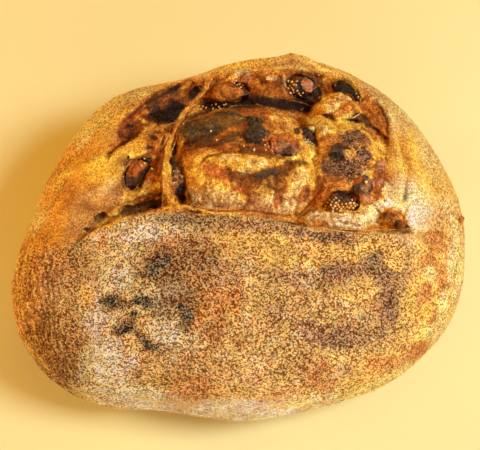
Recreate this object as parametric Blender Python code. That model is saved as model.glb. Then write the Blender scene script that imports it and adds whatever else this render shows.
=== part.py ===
"""Country loaf with dried figs, built as one baked loaf and the fig pieces that show in its open score.

The loaf stands on its flat base with +Z up and its long side along X. The score runs along X, and
its thin front lip is on the -Y side. Units are metres.
"""

import math

import bmesh
import bpy
import numpy as np
from mathutils import Matrix, Vector, noise

# The dome: a superellipse section swept round a free outline
LOAF_HEIGHT = 0.093
BULGE_HEIGHT = 0.032  # height of the widest section above the table
UPPER_POWER = 2.35
LOWER_POWER = 3.0
UNDERCUT = 1.12  # the lower half is this much deeper than the bulge height, so the base is cut flat
# Plan radius of the widest section every 22.5 degrees, from +X towards +Y
OUTLINE_RADII = (
    0.1190, 0.1150, 0.1120, 0.1050, 0.0960, 0.0930, 0.1035, 0.1060,
    0.1125, 0.1275, 0.1230, 0.1035, 0.1010, 0.1020, 0.1120, 0.1205,
)  # fmt: skip

# Meshes
SPHERE_LEVEL = 7
TOP_CROWDING = 1.7  # over 1, the sphere's points crowd towards the top before it is shaped
CURVE_STEPS = 6  # points that a smooth curve gets between two of its knots
STRAND_STEPS = 3
NORMAL_STEP = 0.001  # change of angle over which the dome's slopes are taken, in radians
RELIEF_TILT = 80  # the score's relief lies within this many degrees of the top
LOAF_TRIANGLES = 7800
FLAT_TOLERANCE = 0.0004  # what lies this near the table is pressed flat onto it

# The score: the torn opening's edge in plan, the front lip from left to right, then the right side,
# the back lip from right to left, and the stretched skin on the left
FRONT_LIP = (
    (-0.084, -0.028), (-0.072, -0.023), (-0.060, -0.018), (-0.047, -0.014), (-0.035, -0.012),
    (-0.020, -0.0135), (-0.005, -0.016), (0.011, -0.019), (0.030, -0.022), (0.052, -0.024),
    (0.072, -0.023), (0.087, -0.020),
)  # fmt: skip
RIGHT_SIDE = ((0.082, -0.012), (0.076, 0.010), (0.077, 0.030))
BACK_LIP = (
    (0.078, 0.044), (0.073, 0.056), (0.062, 0.065), (0.047, 0.073), (0.030, 0.077),
    (0.010, 0.078), (-0.013, 0.077), (-0.030, 0.070), (-0.043, 0.060), (-0.054, 0.052),
    (-0.062, 0.042), (-0.070, 0.024),
)  # fmt: skip
LEFT_SKIN = (
    (-0.060, 0.029), (-0.050, 0.033), (-0.041, 0.036), (-0.038, 0.029), (-0.045, 0.022),
    (-0.057, 0.019), (-0.060, 0.009), (-0.058, -0.001), (-0.063, -0.009), (-0.074, -0.015),
)  # fmt: skip
OPENING_DEPTH = 0.026
LIP_DROP = 0.0032  # width over which a lip falls into the opening
FRONT_LIP_RISE = 0.0024
FRONT_LIP_RAMP = 0.0035
BACK_RIM_RISE = 0.0080
BACK_RIM_RAMP = 0.009
BACK_RIM_PEAK = (0.030, 0.078)
BACK_RIM_REACH = 0.040  # how far along the back lip the rim stands up on each side of its peak

# Risen dough inside the opening: middle in plan, half sizes, turn in degrees, height of its top
# above the dome, its fall at its edge, and how square its section is
MOUNDS = {
    "centre": ((0.0045, 0.0160), (0.0365, 0.0340), 0, 0.0030, 0.0100, 3.4),
    "centre_brow": ((0.0000, 0.0380), (0.0300, 0.0120), 2, 0.0042, 0.0080, 2.8),
    "right": ((0.0590, 0.0140), (0.0235, 0.0350), 0, 0.0024, 0.0090, 3.2),
    "right_roll": ((0.0510, -0.0160), (0.0195, 0.0068), -2, 0.0012, 0.0085, 3.0),
    "right_corner": ((0.0800, -0.0060), (0.0120, 0.0140), 0, -0.0012, 0.0080, 3.0),
    "shelf": ((-0.0480, 0.0080), (0.0150, 0.0180), 20, -0.0048, 0.0050, 3.0),
    "strand_foot": ((-0.0385, 0.0130), (0.0034, 0.0270), 2, -0.0012, 0.0070, 3.0),
    "back_left_wall": ((-0.0560, 0.0430), (0.0120, 0.0065), 52, -0.0065, 0.0090, 2.6),
    "back_far_left_wall": ((-0.0330, 0.0680), (0.0140, 0.0055), 30, -0.0085, 0.0080, 2.6),
    "back_middle_wall": ((0.0120, 0.0745), (0.0380, 0.0105), 0, -0.0030, 0.0110, 2.4),
    "back_dough": ((0.0130, 0.0705), (0.0110, 0.0085), 0, -0.0030, 0.0100, 2.6),
    "back_right_wall": ((0.0580, 0.0650), (0.0170, 0.0060), -36, -0.0010, 0.0100, 2.4),
    "back_right_dough": ((0.0540, 0.0550), (0.0150, 0.0110), -38, 0.0006, 0.0100, 3.0),
    "right_fold": ((0.0735, 0.0470), (0.0060, 0.0180), 26, -0.0010, 0.0090, 2.6),
}
MOUND_BLEND = 0.0020

# Pockets and gaps: middle in plan, half sizes, turn in degrees and depth
POCKETS = {
    "left_pocket": ((-0.0690, -0.0165), (0.0060, 0.0038), 20, 0.0080),
    "middle_pocket": ((-0.0480, -0.0060), (0.0120, 0.0062), 14, 0.0075),
    "beside_strand": ((-0.0305, 0.0000), (0.0032, 0.0110), 6, 0.0050),
    "valley_top": ((0.0345, 0.0330), (0.0024, 0.0110), 10, 0.0022),
    "valley_foot": ((0.0345, -0.0080), (0.0026, 0.0120), -32, 0.0024),
    "right_gap": ((0.0640, 0.0415), (0.0150, 0.0020), -34, 0.0080),
    "right_side": ((0.0745, 0.0050), (0.0014, 0.0200), 4, 0.0016),
    "right_corner": ((0.0740, -0.0150), (0.0030, 0.0060), -14, 0.0040),
}

# The strand of dough that bridges the cavity and runs on down to the lip, with its fork
STRAND = (
    (-0.0150, 0.0740), (-0.0190, 0.0620), (-0.0245, 0.0510), (-0.0300, 0.0400), (-0.0345, 0.0290),
    (-0.0380, 0.0150), (-0.0375, 0.0010), (-0.0320, -0.0120),
)  # fmt: skip
STRAND_FORK = ((-0.0195, 0.0600), (-0.0215, 0.0660), (-0.0240, 0.0735))
STRAND_RADIUS = 0.0023
STRAND_TAPER = 0.7  # its radius at the foot, as a share of that at the top
FORK_RADIUS = 0.0014
STRAND_SINK = 0.0006  # how far its middle line lies below the plain dome

# Slow swellings of the crust, and the finer lumps of the torn dough
SWELL_HEIGHT = 0.0011
SWELL_SIZE = 0.030
TEAR_HEIGHT = 0.0016
TEAR_SIZE = 0.009

# Fig pieces: place in plan, half sizes along, across and deep, turn in degrees, and how far the
# middle lies below the dough's surface
FIGS = {
    "fig_back_seeded": ((0.0335, 0.0715), (0.0075, 0.0066, 0.0050), 0, 0.0006),
    "fig_back_flesh": ((-0.0055, 0.0700), (0.0100, 0.0062, 0.0050), -6, 0.0008),
    "fig_back_skin": ((0.0560, 0.0655), (0.0084, 0.0040, 0.0035), -34, 0.0000),
    "fig_top_skin": ((0.0080, 0.0290), (0.0054, 0.0072, 0.0026), -20, 0.0004),
    "fig_top_slice": ((0.0225, 0.0212), (0.0076, 0.0058, 0.0028), -8, 0.0004),
    "fig_valley": ((0.0350, 0.0345), (0.0060, 0.0044, 0.0034), -38, 0.0006),
    "fig_right_nub": ((0.0505, 0.0200), (0.0056, 0.0036, 0.0028), 0, 0.0006),
    "fig_right_seeded": ((0.0520, -0.0070), (0.0088, 0.0056, 0.0038), 4, 0.0010),
    "fig_right_dark": ((0.0615, 0.0020), (0.0056, 0.0040, 0.0030), 30, 0.0006),
    "fig_corner": ((0.0790, -0.0130), (0.0062, 0.0040, 0.0034), -14, 0.0010),
    "fig_left_torn": ((-0.0545, 0.0125), (0.0066, 0.0092, 0.0030), -24, 0.0006),
    "fig_beside_strand": ((-0.0325, 0.0105), (0.0044, 0.0104, 0.0034), 8, 0.0004),
}
FIG_SKINS = (
    "fig_back_skin", "fig_top_skin", "fig_valley", "fig_right_nub", "fig_right_dark",
    "fig_beside_strand",
)  # fmt: skip
FIG_SIDES = 14
FIG_RINGS = 8
FIG_LUMP = 0.24  # depth of a fig's creases, as a share of its size
FIG_CREASES = 1.4  # how closely a fig's creases lie
FIG_SPREAD = (3.1, 1.7, 2.3)  # how far apart in the noise one fig is from the next
FIG_SQUARENESS = 0.78  # under 1, a fig piece is boxier than an ellipsoid
FIG_GAP = 0.0004  # clear space round each fig piece

LOOKS = {
    "crust": ((0.62, 0.33, 0.10), 0.75),
    "fig_flesh": ((0.16, 0.04, 0.03), 0.4),
    "fig_skin": ((0.05, 0.03, 0.04), 0.5),
}


def smooth_curve(points, steps, closed):
    """Points along a Catmull-Rom curve through the given ones."""
    knots = np.array(points, float)
    if closed:
        padded = np.vstack([knots[-1:], knots, knots[:2]])
    else:
        padded = np.vstack([2 * knots[:1] - knots[1:2], knots, 2 * knots[-1:] - knots[-2:-1]])
    share = np.linspace(0, 1, steps, endpoint=False)[:, None]
    runs = []
    for a, b, c, d in zip(padded, padded[1:], padded[2:], padded[3:]):
        runs.append(
            0.5 * (2 * b + (c - a) * share + (2 * a - 5 * b + 4 * c - d) * share**2
                   + (3 * b - a - 3 * c + d) * share**3)
        )
    run = np.vstack(runs)
    return run if closed else np.vstack([run, knots[-1:]])


def distance_to(points, path):
    """Distance from each plan point to a path of straight steps, and how far along it that is."""
    near = np.full(len(points), np.inf)
    along = np.zeros(len(points))
    travelled = 0.0
    for a, b in zip(path, path[1:]):
        step = b - a
        length = np.hypot(*step)
        share = np.clip((points - a) @ step / length**2, 0, 1)
        gap = np.hypot(*(points - a - share[:, None] * step).T)
        along = np.where(gap < near, travelled + share * length, along)
        near = np.minimum(near, gap)
        travelled += length
    return near, along


def inside(points, path):
    """Whether each plan point lies inside a closed path."""
    x, y = points.T
    odd = np.zeros(len(points), bool)
    for (x0, y0), (x1, y1) in zip(path, np.roll(path, -1, axis=0)):
        crosses = (y0 > y) != (y1 > y)
        rise = np.where(crosses, (y - y0) / np.where(y1 == y0, 1, y1 - y0), 0)
        odd ^= crosses & (x < x0 + rise * (x1 - x0))
    return odd


def ease(share):
    """A smooth step from 0 to 1."""
    share = np.clip(share, 0, 1)
    return share * share * (3 - 2 * share)


def smooth_max(a, b, width):
    """The larger of two heights, rounded where they meet."""
    share = np.clip(0.5 + 0.5 * (a - b) / width, 0, 1)
    return b + (a - b) * share + width * share * (1 - share)


def turned(points, middle, half, degrees):
    """Plan points in the frame of an ellipse, where its edge is at 1."""
    turn = math.radians(degrees)
    offset = points - np.array(middle)
    along = offset @ np.array((math.cos(turn), math.sin(turn)))
    across = offset @ np.array((-math.sin(turn), math.cos(turn)))
    return np.hypot(along / half[0], across / half[1])


def lumps(points, size, octaves):
    """Smooth noise from -1 to 1 at each point, with features of about the given size."""
    values = [noise.fractal(Vector(p / size), 1.0, 2.0, octaves) for p in points]
    return np.clip(np.array(values), -1, 1)


def outline_radius(angle):
    """Plan radius of the widest section at an angle, smooth through the outline's radii."""
    radii = np.array(OUTLINE_RADII)
    place = (angle % (2 * math.pi)) / (2 * math.pi) * len(radii)
    low = np.floor(place).astype(int)
    share = place - low
    a, b, c, d = (radii[(low + k) % len(radii)] for k in (-1, 0, 1, 2))
    return 0.5 * (2 * b + (c - a) * share + (2 * a - 5 * b + 4 * c - d) * share**2
                  + (3 * b - a - 3 * c + d) * share**3)  # fmt: skip


def dome_point(angle, tilt):
    """A point of the plain dome, tilt running from 0 at the top to pi underneath."""
    side, rise = np.sin(tilt), np.cos(tilt)
    power = np.where(rise >= 0, UPPER_POWER, LOWER_POWER)
    radius = outline_radius(angle) * np.abs(side) ** (2 / power)
    above = BULGE_HEIGHT + (LOAF_HEIGHT - BULGE_HEIGHT) * np.abs(rise) ** (2 / UPPER_POWER)
    below = BULGE_HEIGHT - BULGE_HEIGHT * UNDERCUT * np.abs(rise) ** (2 / LOWER_POWER)
    height = np.where(rise >= 0, above, np.maximum(0, below))
    return np.stack([radius * np.cos(angle), radius * np.sin(angle), height], axis=-1)


def dome_normal(angle, tilt):
    """Outward normal of the plain dome, from its slopes in angle and tilt."""
    step = NORMAL_STEP
    tilt = np.clip(tilt, 2 * step, math.pi - 2 * step)
    round_it = dome_point(angle + step, tilt) - dome_point(angle - step, tilt)
    down_it = dome_point(angle, tilt + step) - dome_point(angle, tilt - step)
    normal = np.cross(down_it, round_it)
    length = np.linalg.norm(normal, axis=-1, keepdims=True)
    return normal / np.maximum(length, 1e-12)


def crust_height(plan, opening, front, back):
    """The crust round the opening: level, raised along both lips, and falling away inside."""
    edge = distance_to(plan, np.vstack([opening, opening[:1]]))[0]
    within = np.where(inside(plan, opening), edge, -edge)
    to_front, _ = distance_to(plan, front)
    to_back, _ = distance_to(plan, back)
    from_peak = np.hypot(*(plan - np.array(BACK_RIM_PEAK)).T)
    standing = np.exp(-((from_peak / BACK_RIM_REACH) ** 2))
    raised = FRONT_LIP_RISE * np.exp(-to_front / FRONT_LIP_RAMP)
    raised += BACK_RIM_RISE * standing * np.exp(-to_back / BACK_RIM_RAMP)
    return raised - (OPENING_DEPTH + raised) * ease(within / LIP_DROP), within


def mound_height(plan, middle, half, degrees, top, fall, power):
    """A rounded body of risen dough."""
    reach = turned(plan, middle, half, degrees)
    return top - fall * reach**power


def relief(plan, solid):
    """How far the loaf stands above the plain dome, at plan points that lie on its upper side."""
    front = smooth_curve(FRONT_LIP, CURVE_STEPS, closed=False)
    back = smooth_curve(BACK_LIP, CURVE_STEPS, closed=False)
    opening = smooth_curve(FRONT_LIP + RIGHT_SIDE + BACK_LIP + LEFT_SKIN, CURVE_STEPS, closed=True)
    height, within = crust_height(plan, opening, front, back)
    dough = np.full(len(plan), -OPENING_DEPTH)
    for middle, half, degrees, top, fall, power in MOUNDS.values():
        body = mound_height(plan, middle, half, degrees, top, fall, power)
        dough = smooth_max(dough, body, MOUND_BLEND)
    dough += TEAR_HEIGHT * lumps(solid, TEAR_SIZE, 2)
    dough = np.maximum(dough, -OPENING_DEPTH)
    for middle, half, degrees, depth in POCKETS.values():
        dough -= depth * np.exp(-turned(plan, middle, half, degrees) ** 4)
    inner = ease(within / LIP_DROP + 0.5)
    joined = smooth_max(height, dough, MOUND_BLEND / 2)
    return height + (joined - height) * inner


def surface(angle, tilt):
    """Points of the finished loaf, before the strand and the figs."""
    base = dome_point(angle, tilt)
    normal = dome_normal(angle, tilt)
    height = SWELL_HEIGHT * lumps(base, SWELL_SIZE, 2) * ease(base[:, 2] / BULGE_HEIGHT)
    upper = tilt < math.radians(RELIEF_TILT)
    height[upper] += relief(base[upper, :2], base[upper])
    return base + normal * height[:, None], normal


def dome_place(place):
    """The angle and tilt of the plain dome's upper side over a place in plan."""
    angle = np.array([math.atan2(place[1], place[0])])
    radius = math.hypot(*place) / outline_radius(angle)
    return angle, np.arcsin(np.clip(radius, 0, 1) ** (UPPER_POWER / 2))


def spot(place):
    """The dough's surface point and the dome's normal over a place in plan."""
    point, normal = surface(*dome_place(place))
    return Vector(point[0]), Vector(normal[0])


def finish(obj, look):
    """Shades an object smooth and gives it its material."""
    obj.data.shade_smooth()
    obj.data.materials.clear()
    obj.data.materials.append(bpy.data.materials[look])
    return obj


def new_object(name, mesh):
    """A named object in the scene."""
    obj = bpy.data.objects.new(name, mesh)
    bpy.context.scene.collection.objects.link(obj)
    return obj


def applied(obj):
    """Replaces an object's mesh by what its modifiers make of it."""
    graph = bpy.context.evaluated_depsgraph_get()
    mesh = bpy.data.meshes.new_from_object(obj.evaluated_get(graph), depsgraph=graph)
    obj.modifiers.clear()
    obj.data = mesh
    return obj


def unit_sphere(level):
    """A mesh of a sphere of radius 1 in even triangles."""
    form = bmesh.new()
    bmesh.ops.create_icosphere(form, subdivisions=level, radius=1.0)
    mesh = bpy.data.meshes.new("sphere")
    form.to_mesh(mesh)
    form.free()
    return mesh


def unit_globe(sides, rings):
    """A mesh of a sphere of radius 1 with meridians and rings, in triangles."""
    form = bmesh.new()
    bmesh.ops.create_uvsphere(form, u_segments=sides, v_segments=rings, radius=1.0)
    bmesh.ops.triangulate(form, faces=form.faces[:])
    mesh = bpy.data.meshes.new("globe")
    form.to_mesh(mesh)
    form.free()
    return mesh


def coordinates(mesh):
    """A mesh's points as an array."""
    points = np.empty(len(mesh.vertices) * 3)
    mesh.vertices.foreach_get("co", points)
    return points.reshape(-1, 3)


def set_coordinates(mesh, points):
    """Moves a mesh's points."""
    mesh.vertices.foreach_set("co", points.ravel())
    mesh.update()


def make_materials():
    """One material for each look."""
    for name, (colour, roughness) in LOOKS.items():
        material = bpy.data.materials.new(name)
        material.use_nodes = True
        shader = material.node_tree.nodes["Principled BSDF"]
        shader.inputs["Base Color"].default_value = (*colour, 1)
        shader.inputs["Roughness"].default_value = roughness
        shader.inputs["Metallic"].default_value = 0.0


def make_body():
    """The loaf's body: a sphere of even triangles shaped by the dome and its relief, then thinned."""
    mesh = unit_sphere(SPHERE_LEVEL)
    ball = coordinates(mesh)
    angle = np.arctan2(ball[:, 1], ball[:, 0])
    tilt = np.arccos(np.clip(ball[:, 2], -1, 1))
    tilt = math.pi * (tilt / math.pi) ** TOP_CROWDING
    points, _ = surface(angle, tilt)
    set_coordinates(mesh, points)
    body = new_object("loaf", mesh)
    thin = body.modifiers.new("thin", "DECIMATE")
    thin.ratio = LOAF_TRIANGLES / len(mesh.polygons)
    applied(body)
    points = coordinates(body.data)
    points[points[:, 2] < FLAT_TOLERANCE, 2] = 0
    set_coordinates(body.data, points)
    return body


def make_strand(name, places, radius):
    """A thin rope of dough that follows the plain dome, thinner at its far end."""
    points = []
    for place in places:
        angle, tilt = dome_place(place)
        points.append(dome_point(angle, tilt)[0] - dome_normal(angle, tilt)[0] * STRAND_SINK)
    path = smooth_curve(points, STRAND_STEPS, closed=False)
    curve = bpy.data.curves.new(name, "CURVE")
    curve.dimensions = "3D"
    curve.bevel_depth = radius
    curve.bevel_resolution = 1
    curve.use_fill_caps = True
    spline = curve.splines.new("POLY")
    spline.points.add(len(path) - 1)
    for point, at, width in zip(spline.points, path, np.linspace(1, STRAND_TAPER, len(path))):
        point.co = (*at, 1)
        point.radius = width
    obj = new_object(name, curve)
    graph = bpy.context.evaluated_depsgraph_get()
    mesh = bpy.data.meshes.new_from_object(obj.evaluated_get(graph), depsgraph=graph)
    bpy.data.objects.remove(obj)
    return new_object(name, mesh)


def fig_mesh(half, seed, grow):
    """A creased, flattened lump of fig, larger by grow all round."""
    mesh = unit_globe(FIG_SIDES, FIG_RINGS)
    ball = coordinates(mesh)
    offset = Vector(FIG_SPREAD) * seed
    crease = np.array([noise.fractal(Vector(p) * FIG_CREASES + offset, 1.0, 2.0, 2) for p in ball])
    stretch = 1 + FIG_LUMP * np.clip(crease, -1, 1)
    size = np.array(half) + grow
    boxy = np.sign(ball) * np.abs(ball) ** FIG_SQUARENESS
    set_coordinates(mesh, boxy * stretch[:, None] * size)
    return mesh


def place_fig(obj, place, degrees, sink):
    """Lays a fig piece into the dough's surface."""
    point, normal = spot(place)
    turn = Matrix.Rotation(math.radians(degrees), 4, "Z")
    frame = Matrix.Translation(point - normal * sink) @ upright(normal) @ turn
    obj.data.transform(frame)
    return obj


def upright(normal):
    """A frame whose Z is the normal and whose X stays level along the loaf."""
    along = Vector((1, 0, 0))
    across = normal.cross(along).normalized()
    along = across.cross(normal).normalized()
    return Matrix((along, across, normal)).transposed().to_4x4()


def combine(body, others, operation):
    """Joins others to the body, or cuts them from it, with one Boolean on a collection."""
    tools = bpy.data.collections.new("tools")
    bpy.context.scene.collection.children.link(tools)
    for obj in others:
        bpy.context.scene.collection.objects.unlink(obj)
        tools.objects.link(obj)
    cut = body.modifiers.new(operation, "BOOLEAN")
    cut.operation = operation
    cut.operand_type = "COLLECTION"
    cut.collection = tools
    cut.solver = "EXACT"
    bpy.context.view_layer.update()
    applied(body)
    for obj in others:
        bpy.data.objects.remove(obj)
    bpy.data.collections.remove(tools)
    return body


def main():
    for obj in list(bpy.data.objects):
        bpy.data.objects.remove(obj)
    make_materials()
    body = make_body()
    strands = [
        make_strand("strand", STRAND, STRAND_RADIUS),
        make_strand("strand_fork", STRAND_FORK, FORK_RADIUS),
    ]
    combine(body, strands, "UNION")
    cutters = []
    for seed, (name, (place, half, degrees, sink)) in enumerate(FIGS.items()):
        fig = new_object(name, fig_mesh(half, seed, 0))
        place_fig(fig, place, degrees, sink)
        finish(fig, "fig_skin" if name in FIG_SKINS else "fig_flesh")
        cutter = new_object(name + "_pocket", fig_mesh(half, seed, FIG_GAP))
        place_fig(cutter, place, degrees, sink)
        cutters.append(cutter)
    combine(body, cutters, "DIFFERENCE")
    finish(body, "crust")


main()
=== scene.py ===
"""Looks of the fig loaf: its crust, torn score, figs, seeds and flour, lit and seen as in the photograph.

Lengths are metres. A mark on the loaf is given where the photograph shows it, as a pixel of its
480 x 450 frame with x to the right and y down, and lies on the surface that shows at that pixel.
"""

import math

import bmesh
import bpy
import numpy as np
from mathutils import Matrix, Vector
from mathutils.bvhtree import BVHTree


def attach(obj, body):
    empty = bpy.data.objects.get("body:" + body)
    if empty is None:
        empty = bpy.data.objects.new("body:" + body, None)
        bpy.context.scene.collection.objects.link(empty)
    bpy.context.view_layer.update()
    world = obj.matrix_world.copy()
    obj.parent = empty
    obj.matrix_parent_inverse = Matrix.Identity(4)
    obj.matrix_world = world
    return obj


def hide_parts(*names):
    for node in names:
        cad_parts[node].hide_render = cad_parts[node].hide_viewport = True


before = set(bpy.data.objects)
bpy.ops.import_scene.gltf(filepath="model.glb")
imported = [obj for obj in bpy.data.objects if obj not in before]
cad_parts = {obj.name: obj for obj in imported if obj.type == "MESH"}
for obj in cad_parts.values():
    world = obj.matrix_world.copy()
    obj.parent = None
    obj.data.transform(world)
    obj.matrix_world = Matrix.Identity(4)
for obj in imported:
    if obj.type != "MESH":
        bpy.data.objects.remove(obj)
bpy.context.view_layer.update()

# The photograph's camera
PHOTO_SIZE = (480, 450)
ELEVATION = math.radians(65)
DISTANCE = 0.80
TARGET = np.array((0.0, 0.0, 0.045))
PIXELS_PER_METRE = 1896.0  # at the target
FOCAL = PIXELS_PER_METRE * DISTANCE  # in pixels
SENSOR = 36.0  # in millimetres
ACROSS = np.array((1.0, 0.0, 0.0))
AHEAD = np.array((0.0, math.cos(ELEVATION), -math.sin(ELEVATION)))
UPWARD = np.array((0.0, math.sin(ELEVATION), math.cos(ELEVATION)))
EYE = TARGET - AHEAD * DISTANCE

# Light: name, place, size, power and colour, and the tint that all of it gives a level surface
LIGHTS = (
    ("key", (0.90, -0.22, 1.12), 0.50, 13.5, (0.95, 1.0, 0.95)),
    ("top", (0.10, 0.30, 1.50), 0.90, 1.8, (1.0, 0.66, 0.22)),
    ("left", (-1.10, 0.38, 0.27), 0.45, 7.0, (1.0, 0.70, 0.24)),
    ("fill", (0.10, -1.10, 0.42), 0.80, 3.9, (1.0, 0.88, 0.70)),
)  # fmt: skip
SURROUNDINGS = (1.0, 0.34, 0.0)
SURROUNDINGS_STRENGTH = 0.41
TINT = np.array((1.0, 0.77, 0.55))
FLOOR_SIZE = 8

MM = 0.001

# Meshes
WELD = 0.00001
VOXEL = 0.0007
BODY_TRIANGLES = 190000
FINE_SCORE = 0.85  # how much the score is spared when the body's faces are thinned out
FINE_FRONT = 0.35  # the front crust's share of that
SEED = 5

# Colours as the screen shows them, then how floury, how grainy and how glossy each is
PALETTE = {
    "flour": (236, 214, 184, 0.9, 0.9, 0.0), "cream": (232, 196, 134, 0.6, 0.9, 0.0),
    "pale": (250, 208, 122, 0.3, 0.3, 0.1), "gold": (250, 182, 68, 0.0, 0.5, 0.2),
    "yellow": (250, 182, 60, 0.0, 0.3, 0.2), "honey": (234, 148, 40, 0.0, 0.5, 0.2),
    "tan": (212, 150, 78, 0.3, 0.6, 0.0), "fawn": (190, 128, 66, 0.3, 0.7, 0.0),
    "amber": (200, 112, 28, 0.0, 0.3, 0.3), "orange": (216, 126, 42, 0.0, 0.5, 0.2),
    "rust": (170, 80, 14, 0.0, 0.35, 0.3), "red": (206, 104, 34, 0.0, 0.5, 0.3),
    "sienna": (134, 64, 13, 0.0, 0.35, 0.3), "umber": (84, 42, 12, 0.0, 0.35, 0.3),
    "char": (34, 15, 8, 0.0, 0.2, 0.3), "olive": (104, 64, 20, 0.1, 0.4, 0.2),
    "slate": (74, 56, 34, 0.0, 0.4, 0.3), "mauve": (168, 106, 62, 0.15, 0.8, 0.1),
    "violet": (98, 58, 38, 0.1, 0.6, 0.2), "pink": (226, 150, 104, 0.2, 0.3, 0.3),
    "butter": (250, 206, 116, 0.1, 0.2, 0.1), "milk": (250, 226, 168, 0.2, 0.2, 0.0),
    "sand": (204, 140, 70, 0.3, 0.9, 0.0), "straw": (226, 168, 86, 0.3, 0.9, 0.0),
}  # fmt: skip

FLOUR_TONE = (255, 236, 185)
# Colour of the painted highlights on the crust's grains
GRAIN_HIGHLIGHT_TONE = (255, 212, 136)
PAPER = (251, 225, 150)

# Features of the materials, in metres
GRAIN_SIZE = 0.00072
CELL_SIZE = 0.00066
CLUMP_SIZE = 0.0030
HUE_SIZE = 0.0024
FOLD_SIZE = 0.0014
FINE_FOLD_SIZE = 0.00075
RIPPLE_SIZE = 0.0021
RIPPLE_DEPTH = 0.0010
GRAIN_DEPTHS = (0.0003, 0.0020)  # where there is little grain and where there is much
FIG_WRINKLE_SIZE = 0.0011
FIG_WRINKLE_DEPTH = 0.0010
FIG_STICKY_SIZE = 0.0025

# Outlines of the photograph: the thin front lip of the score from left to right, the loaf's left edge, the
# opening of the score, the torn panel on its left, and the strand of dough
LIP = (
    (0, 262), (66, 248), (77, 241), (97, 233), (122, 221), (142, 216), (166, 212), (188, 213), (213, 215),
    (240, 216), (262, 217), (300, 226), (345, 233), (385, 235), (418, 233), (440, 228), (480, 205),
)  # fmt: skip
LEFT_OUTLINE = (
    (30, 222), (14, 252), (12, 280), (14, 301), (17, 322), (22, 341), (30, 356), (38, 370), (46, 380),
    (60, 391), (80, 400),
)  # fmt: skip
OPENING = (
    (108, 157), (118, 138), (124, 118), (140, 104), (165, 88), (185, 80), (213, 75), (260, 71), (300, 70),
    (330, 76), (350, 84), (366, 95), (381, 108), (389, 125), (389, 150), (386, 180), (384, 205), (405, 213),
    (410, 228), (385, 232), (345, 231), (300, 222), (262, 214), (213, 213), (188, 210), (166, 211),
    (142, 214), (122, 219), (97, 231), (84, 234), (96, 212), (116, 205), (126, 190), (122, 172), (128, 155),
    (146, 150), (145, 140), (160, 130), (150, 126), (132, 140),
)  # fmt: skip
PANEL = (
    (120, 120), (108, 131), (98, 138), (88, 147), (78, 157), (70, 164), (66, 178), (63, 190), (55, 204),
    (50, 222), (56, 244), (66, 247), (77, 240), (97, 232), (122, 219), (142, 213), (166, 209), (172, 150),
    (160, 128), (140, 118),
)  # fmt: skip
STRAND = (
    (213, 79), (205, 91), (198, 99), (190, 107), (183, 116), (177, 126), (171, 138), (167, 151), (166, 165),
    (167, 178), (170, 190), (176, 201),
)  # fmt: skip
# The hollow under the fold at the back, and the crack beside the pocket on the left
FOLD_SHADOW = ((324, 117), (335, 120), (347, 121), (360, 124), (374, 131), (384, 138))
BACK_CRACK = ((116, 99), (126, 95), (137, 92))
STRAND_RADIUS = 0.0021
STRAND_THINNING = 0.60
STRAND_HELD = (1.15, 1.7)  # distance from the middle line, in radii, where the thinning fades out
STRAND_ENDS = 0.006  # length over which it begins at each end

# Where the parts of the surface begin and end: heights in metres, the rest in pixels
SCORE_HEIGHTS = (0.045, 0.055)
RIDGES_LEFT = (-6, 3)  # from the left outline
RIDGES_RIGHT = (34, 54)
RIDGES_TOP = (225, 255)
RIDGES_BOTTOM = (380, 400)
RIDGE_SPACING = 5.2
RIDGE_WANDER = 5.0
FLAT_BASE = (0.0002, 0.004)  # the relief grows from nothing here
TOASTED_BASE = (0.0, 0.007)

# Places with more or less grain or flour: spots and, for a fade, two pixel columns
RIGHT_BAND = (402, 180, 26, 64, -12)
BACK_RIM = (262, 68, 110, 17, -3)
SCORCHED_DOUGH = (349, 156, 20, 28)
BOTTOM_RIM = (228, 410, 110, 12)
GRAIN_FADES = (400, 436)
LEFT_SIDE_ENDS = (180, 260)
RIGHT_SIDE_BEGINS = (340, 380)
FLOUR_FADES = (380, 440)

# Noises of the surface: size of the features in metres, octaves and seed
NOISES = {
    "grit": (0.0016, 2, 52), "dough": (0.0045, 3, 51), "crust": (0.0090, 2, 54), "crease": (0.0055, 2, 55),
    "ridge": (0.012, 2, 31), "mottle": (0.0034, 2, 61), "fine_mottle": (0.0014, 2, 62),
    "wide": (0.022, 2, 71), "small": (0.006, 2, 72), "tiny": (0.0024, 2, 73),
    "toast": (0.0042, 3, 74), "wide_toast": (0.0090, 2, 75), "ochre": (0.0050, 3, 76),
    "wide_ochre": (0.012, 2, 77), "fig_lump": (0.0042, 2, 90), "fig_crease": (0.0030, 2, 91),
    "fig_grit": (0.0011, 1, 92), "fig_mottle": (0.0014, 2, 93), "dusting": (0.010, 3, 97),
}  # fmt: skip
CREASE_WIDTH = 0.09
FIG_CREASE_WIDTH = 0.12

# Relief in millimetres
RIDGE_RELIEF = 0.45
DOUGH_RELIEF = 0.40
DOUGH_GRIT = 0.22
DOUGH_CREASE = 0.45
CRUST_RELIEF = 0.20
CRUST_GRIT = 0.14
FIG_SWELL = 0.1
FIG_RELIEF = 1.2
FIG_CREASE = 0.5
FIG_GRIT = 0.2

# How a shade of 1 changes red, green and blue: dark dough is redder, and ochre is less blue
SHADE_TINT = (0.9, 1.3, 1.6)
OCHRE_TINT = (-0.03, 0.05, -0.20)
FIG_SHADE_TINT = (0.9, 1.2, 1.4)

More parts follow.
